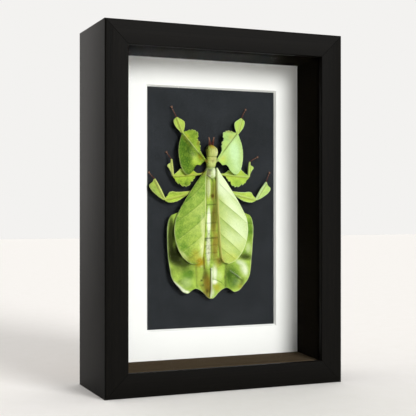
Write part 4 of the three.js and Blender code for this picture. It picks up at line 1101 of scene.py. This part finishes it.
def lobeMargin(legName, lobeName, length):
    # The margin's width at fine steps along the shaft, and how deep its teeth are cut
    stops = lobes[legName][lobeName]
    places = np.linspace(0, length, legSizes["fineSteps"])
    widths = readStops(stops, places * stops[-1][0] / length)
    steep = np.hypot(1, np.gradient(widths, places))
    arc = np.concatenate([[0], np.cumsum(steep[1:] * np.diff(places))])
    depth, pitch, saw = teeth[legName, lobeName]
    phase = (arc / pitch + 0.16 * np.sin(arc * 0.8)) % 1
    round_ = (1 - np.sin(math.pi * phase)) ** 2
    cut = depth * (0.8 + 0.2 * np.sin(arc * 1.3)) * (round_ * (1 - saw) + phase * saw)
    cut = cut * np.minimum(steep, 2.6) * smoothStep(12, 6, steep) * smoothStep(0.9, 2.4, widths)
    return places, widths, np.minimum(cut, 0.4 * widths), arc


def legMarks(sideName, legName, part, across, along, width, inward, shaft, t):
    first = 0 if part == "femur" else 2
    marks = newMarks(across, *legTones[sideName, legName][first:first + 2])
    beyond = np.abs(width)
    lay(marks, fresh=0.35 * bell(beyond - 1.4, 1.2))
    if (legName, part) != ("fore", "femur"):
        outerLine = bell(width - 0.9, 0.3) * smoothStep(0, 0.15, t) * smoothStep(1, 0.9, t)
        lay(marks, pale=0.3 * shaft, warm=0.2 * shaft, dark=0.26 * outerLine, stain=0.3 * outerLine)
    elif sideName == "left":
        # A dark band beside the left fore femur's shaft: painted shade
        band = bell(width - 1.6, 0.9) * smoothStep(0.3, 0.8, t)
        lay(marks, fresh=0.42 * smoothStep(0.5, -0.8, width), dark=0.6 * band,
            pale=0.5 * shaft * smoothStep(0.1, 0.5, t))
    else:
        shaftLine = bell(width + 0.5, 0.3) * smoothStep(0.2, 0.4, t)
        lay(marks, pale=-0.35 * smoothStep(0.5, -0.8, width), stain=0.35 * shaftLine, dark=0.4 * shaftLine)
    if legName == "hind" and part == "tibia":
        lay(marks, pale=0.5 * bell(width + 0.3, 0.8))
    layAll(marks, across, along, legSpots[sideName, legName])
    lay(marks, pale=0.5 * bell(inward, 0.45) * smoothStep(0.6, 1.6, beyond))
    return marks


def taperRod(path, radii, sidesCount=12):
    # Rings round a path of places, closed at both ends
    ahead = unit(np.gradient(path, axis=0))
    sideways = unit(np.cross(ahead, [0, -1, 0.01]))
    over = np.cross(sideways, ahead)
    turn = np.linspace(0, 2 * math.pi, sidesCount, endpoint=False)[:, None]
    rings = np.cos(turn) * sideways[:, None] + np.sin(turn) * over[:, None]
    rings = path[:, None] + np.asarray(radii, float)[:, None, None] * rings
    points = np.concatenate([rings.reshape(-1, 3), path[:1], path[-1:]])
    index = np.arange(rings[..., 0].size).reshape(-1, sidesCount)
    fans = [np.stack([around, np.roll(around, -1), 0 * around + pole, 0 * around + pole], -1)
            for around, pole in ((index[0, ::-1], index.size), (index[-1], index.size + 1))]
    return points, np.concatenate([tubeFaces(index), *fans])


def easedPath(places, steps):
    # A quadratic curve through three places
    a, b, c = np.array(places, float)
    t = np.linspace(0, 1, steps)[:, None]
    return a * (1 - t) ** 2 + (4 * b - a - c) * t * (1 - t) + c * t * t


coxaSizes = {"radius": 0.95, "steps": 18, "arch": 0.25, "overlap": 0.8}
coxaTones = {
    "left": {"fresh": 0.3, "stain": 0.85, "dark": 0.3}, "right": {"fresh": 0.7, "pale": 0.25, "stain": 0.4},
}


def coxaPiece(sideName, legName):
    across, along, height = coxaRoots[legName]
    root = np.array([-across if sideName == "left" else across, along, height])
    coxa, knee = np.array(poses[sideName][legName][:2], float)
    middle = (root + coxa) / 2 + [0, 0, coxaSizes["arch"]]
    path = easedPath([root, middle, coxa + unit(knee - coxa) * coxaSizes["overlap"]], coxaSizes["steps"])
    t = np.linspace(0, 1, coxaSizes["steps"])
    radii = coxaSizes["radius"] * (1.15 - 0.35 * t) * (1 - 0.16 * bell(t - 0.72, 0.06))
    points, quads = taperRod(placed(*path.T), radii)
    marks = {mark: np.full(len(points), value) for mark, value in coxaTones[sideName].items()}
    return closedMesh(f"{legName}_coxa_{sideName}", points, quads, finishes["body"], marks)


# Feet and antennae are strings of beads along a path, made by Geometry Nodes

beadSizes = {
    "foot": {"beads": 5, "start": 0.36, "end": 0.2, "long": 1.3, "core": 0.2},
    "antenna": {"beads": 9, "start": 0.88, "end": 0.3, "long": 1.3, "core": 0.25},
}
beadMesh = {"segments": 16, "rings": 10, "coreSides": 10, "pathSteps": 24}
beadInputs = {"Beads": "NodeSocketInt", "Start Radius": numberKind, "End Radius": numberKind,
              "Bead Length": numberKind, "Core Radius": numberKind, "Finish": "NodeSocketMaterial"}


def makeBeadTree():
    tree = bpy.data.node_groups.new("beadsAlongPath", "GeometryNodeTree")
    for direction in ("INPUT", "OUTPUT"):
        tree.interface.new_socket("Geometry", in_out=direction, socket_type="NodeSocketGeometry")
    for name, kind in beadInputs.items():
        tree.interface.new_socket(name, in_out="INPUT", socket_type=kind)
    given, result = tree.nodes.new("NodeGroupInput").outputs, tree.nodes.new("NodeGroupOutput")
    path, count = given["Geometry"], given["Beads"]
    points = addNode(tree, "GeometryNodeCurveToPoints", {"mode": "COUNT"}, Curve=path, Count=count).outputs
    ball = addNode(tree, "GeometryNodeMeshUVSphere", Segments=beadMesh["segments"], Rings=beadMesh["rings"],
                   Radius=1.0)
    place = addNode(tree, "GeometryNodeInputIndex").outputs[0]
    share = calc(tree, "DIVIDE", place, calc(tree, "SUBTRACT", count, 1.0))
    drop = calc(tree, "SUBTRACT", given["End Radius"], given["Start Radius"])
    radius = plus(tree, given["Start Radius"], times(tree, drop, share))
    size = addNode(tree, "ShaderNodeCombineXYZ", X=radius, Y=radius, Z=given["Bead Length"])
    toned = addNode(tree, "GeometryNodeStoreNamedAttribute", {"data_type": "FLOAT", "domain": "POINT"},
                    Geometry=points["Points"], Name="fresh", Value=calc(tree, "POWER", share, 2.0))
    beads = addNode(tree, "GeometryNodeInstanceOnPoints", Points=toned.outputs["Geometry"],
                    Instance=ball.outputs["Mesh"], Rotation=points["Rotation"], Scale=size.outputs[0])
    ring = addNode(tree, "GeometryNodeCurvePrimitiveCircle", Resolution=beadMesh["coreSides"],
                   Radius=given["Core Radius"])
    core = addNode(tree, "GeometryNodeCurveToMesh", Curve=path, Profile_Curve=ring.outputs[0],
                   Fill_Caps=True)
    whole = tree.nodes.new("GeometryNodeJoinGeometry")
    tree.links.new(beads.outputs[0], whole.inputs[0])
    tree.links.new(core.outputs[0], whole.inputs[0])
    smooth = addNode(tree, "GeometryNodeSetShadeSmooth", Geometry=whole.outputs[0])
    real = addNode(tree, "GeometryNodeRealizeInstances", Geometry=smooth.outputs[0])
    finished = addNode(tree, "GeometryNodeSetMaterial", Geometry=real.outputs[0], Material=given["Finish"])
    tree.links.new(finished.outputs[0], result.inputs[0])
    return tree


beadTree = makeBeadTree()


def beadString(name, places, sizes):
    curve = bpy.data.curves.new(name + "_path", "CURVE")
    curve.dimensions = "3D"
    spline = curve.splines.new("POLY")
    path = placed(*easedPath(places, beadMesh["pathSteps"]).T) * mm
    spline.points.add(len(path) - 1)
    for point, co in zip(spline.points, path):
        point.co = (*co, 1)
    source = newObject(name + "_source", curve)
    modifier = source.modifiers.new("beads", "NODES")
    modifier.node_group = beadTree
    length = np.linalg.norm(np.diff(path, axis=0), axis=1).sum()
    values = (sizes["beads"], sizes["start"] * mm, sizes["end"] * mm,
              length / sizes["beads"] / 2 * sizes["long"], sizes["core"] * mm, finishes["foot"])
    inputs = dict(zip(beadInputs, values))
    for item in beadTree.interface.items_tree:
        if item.name in inputs:
            modifier[item.identifier] = inputs[item.name]
    # The evaluated result becomes a plain mesh of its own
    evaluated = source.evaluated_get(bpy.context.evaluated_depsgraph_get())
    mesh = bpy.data.meshes.new_from_object(evaluated)
    bpy.data.objects.remove(source)
    mesh.name = name
    return newObject(name, mesh)


# A hook of the claws is [distance past the toe, distance aside, rise]
clawSizes = {"hook": [[-0.5, 0.1, 0], [0.3, 0.5, 0.15], [0.95, 0.72, -0.35]], "radius": 0.24, "taper": 0.2,
             "steps": 12}


def clawPiece(name, ankle, toe):
    ahead = unit(toe - ankle)
    sideways = unit(np.array([-ahead[1], ahead[0], 0]))
    points, quads = [], []
    radii = clawSizes["radius"] - clawSizes["taper"] * np.linspace(0, 1, clawSizes["steps"]) ** 1.3
    for turn in (-1, 1):
        hook = [toe + ahead * on + sideways * turn * aside + [0, 0, up]
                for on, aside, up in clawSizes["hook"]]
        rod, faces = taperRod(placed(*easedPath(hook, clawSizes["steps"]).T), radii, 8)
        quads.append(faces + len(rod) * len(points))
        points.append(rod)
    points, marks = np.concatenate(points), {"fresh": np.full(2 * len(points[0]), 0.5)}
    return closedMesh(name, points, np.concatenate(quads), finishes["foot"], marks)


for sideName in poses:
    for legName in lobes:
        for part in ("femur", "tibia"):
            name = f"{legName}_{part}_{sideName}"
            settle(legLeaf(name, sideName, legName, part, finishes[sideName + "Leg"]), "leg", name)
        settle(coxaPiece(sideName, legName), "thorax")
        ankle, toe = np.array(poses[sideName][legName][2:], float)
        name = f"{legName}_tarsus_{sideName}"
        places = [ankle, (ankle + toe) / 2 - [0, 0, 0.2], toe]
        settle(beadString(name, places, beadSizes["foot"]), "foot", name)
        settle(clawPiece(f"{legName}_claws_{sideName}", ankle, toe), "foot")
print("legs ready")


# Eyes, antennae and mouthparts

eye = {
    "across": 3, "along": 98.9, "height": 4.7, "radii": (0.8, 1.05, 0.95), "segments": 28, "rings": 18,
    "shift": 0.6,
}
antennae = {
    "left": [[-1.1, 101.6, 4.9], [-1.7, 103.7, 6], [-2.1, 106, 5.9]],
    "right": [[0.8, 101.6, 4.9], [0.95, 103.9, 6], [1.4, 106.1, 5.9]],
}
mouth = {"palp": [[0.7, 101.4, 3.6], [1.0, 102.4, 3.2], [0.9, 103.1, 2.4]], "palpRadius": 0.3, "steps": 10}


def eyePiece(name, side):
    bands = np.linspace(0, math.pi, eye["rings"])
    centre = np.array([eye["shift"] + side * eye["across"], eye["along"], eye["height"]])
    path = np.stack([0 * bands, -np.cos(bands) * eye["radii"][1], 0 * bands], 1) + centre
    points, quads = taperRod(placed(*path.T), np.maximum(np.sin(bands), 0.02), eye["segments"])
    middle = placed(*centre)
    points = middle + (points - middle) * [eye["radii"][0], eye["radii"][2], 1]
    return closedMesh(name, points, quads, finishes["eye"])


def palpPiece(name, side):
    steps = mouth["steps"]
    path = placed(*easedPath(np.array(mouth["palp"]) * [side, 1, 1], steps).T)
    radii = mouth["palpRadius"] * (1 - 0.4 * np.linspace(0, 1, steps))
    return closedMesh(name, *taperRod(path, radii, 8), finishes["foot"])


for side, (sideName, places) in zip((-1, 1), antennae.items()):
    settle(eyePiece("eye_" + sideName, side), "eye", "eye_" + sideName)
    settle(beadString("antenna_" + sideName, places, beadSizes["antenna"]), "foot", "antenna_" + sideName)
    settle(palpPiece("palp_" + sideName, side), "foot")
print("head ready")


# The floor

half = studio["floorSize"] / 2
floorMesh = bpy.data.meshes.new("floor")
corners = [(-half, -half, 0), (half, -half, 0), (half, half, 0), (-half, half, 0)]
floorMesh.from_pydata(corners, [], [(0, 1, 2, 3)])
newObject("floor", floorMesh, finishes["floor"])
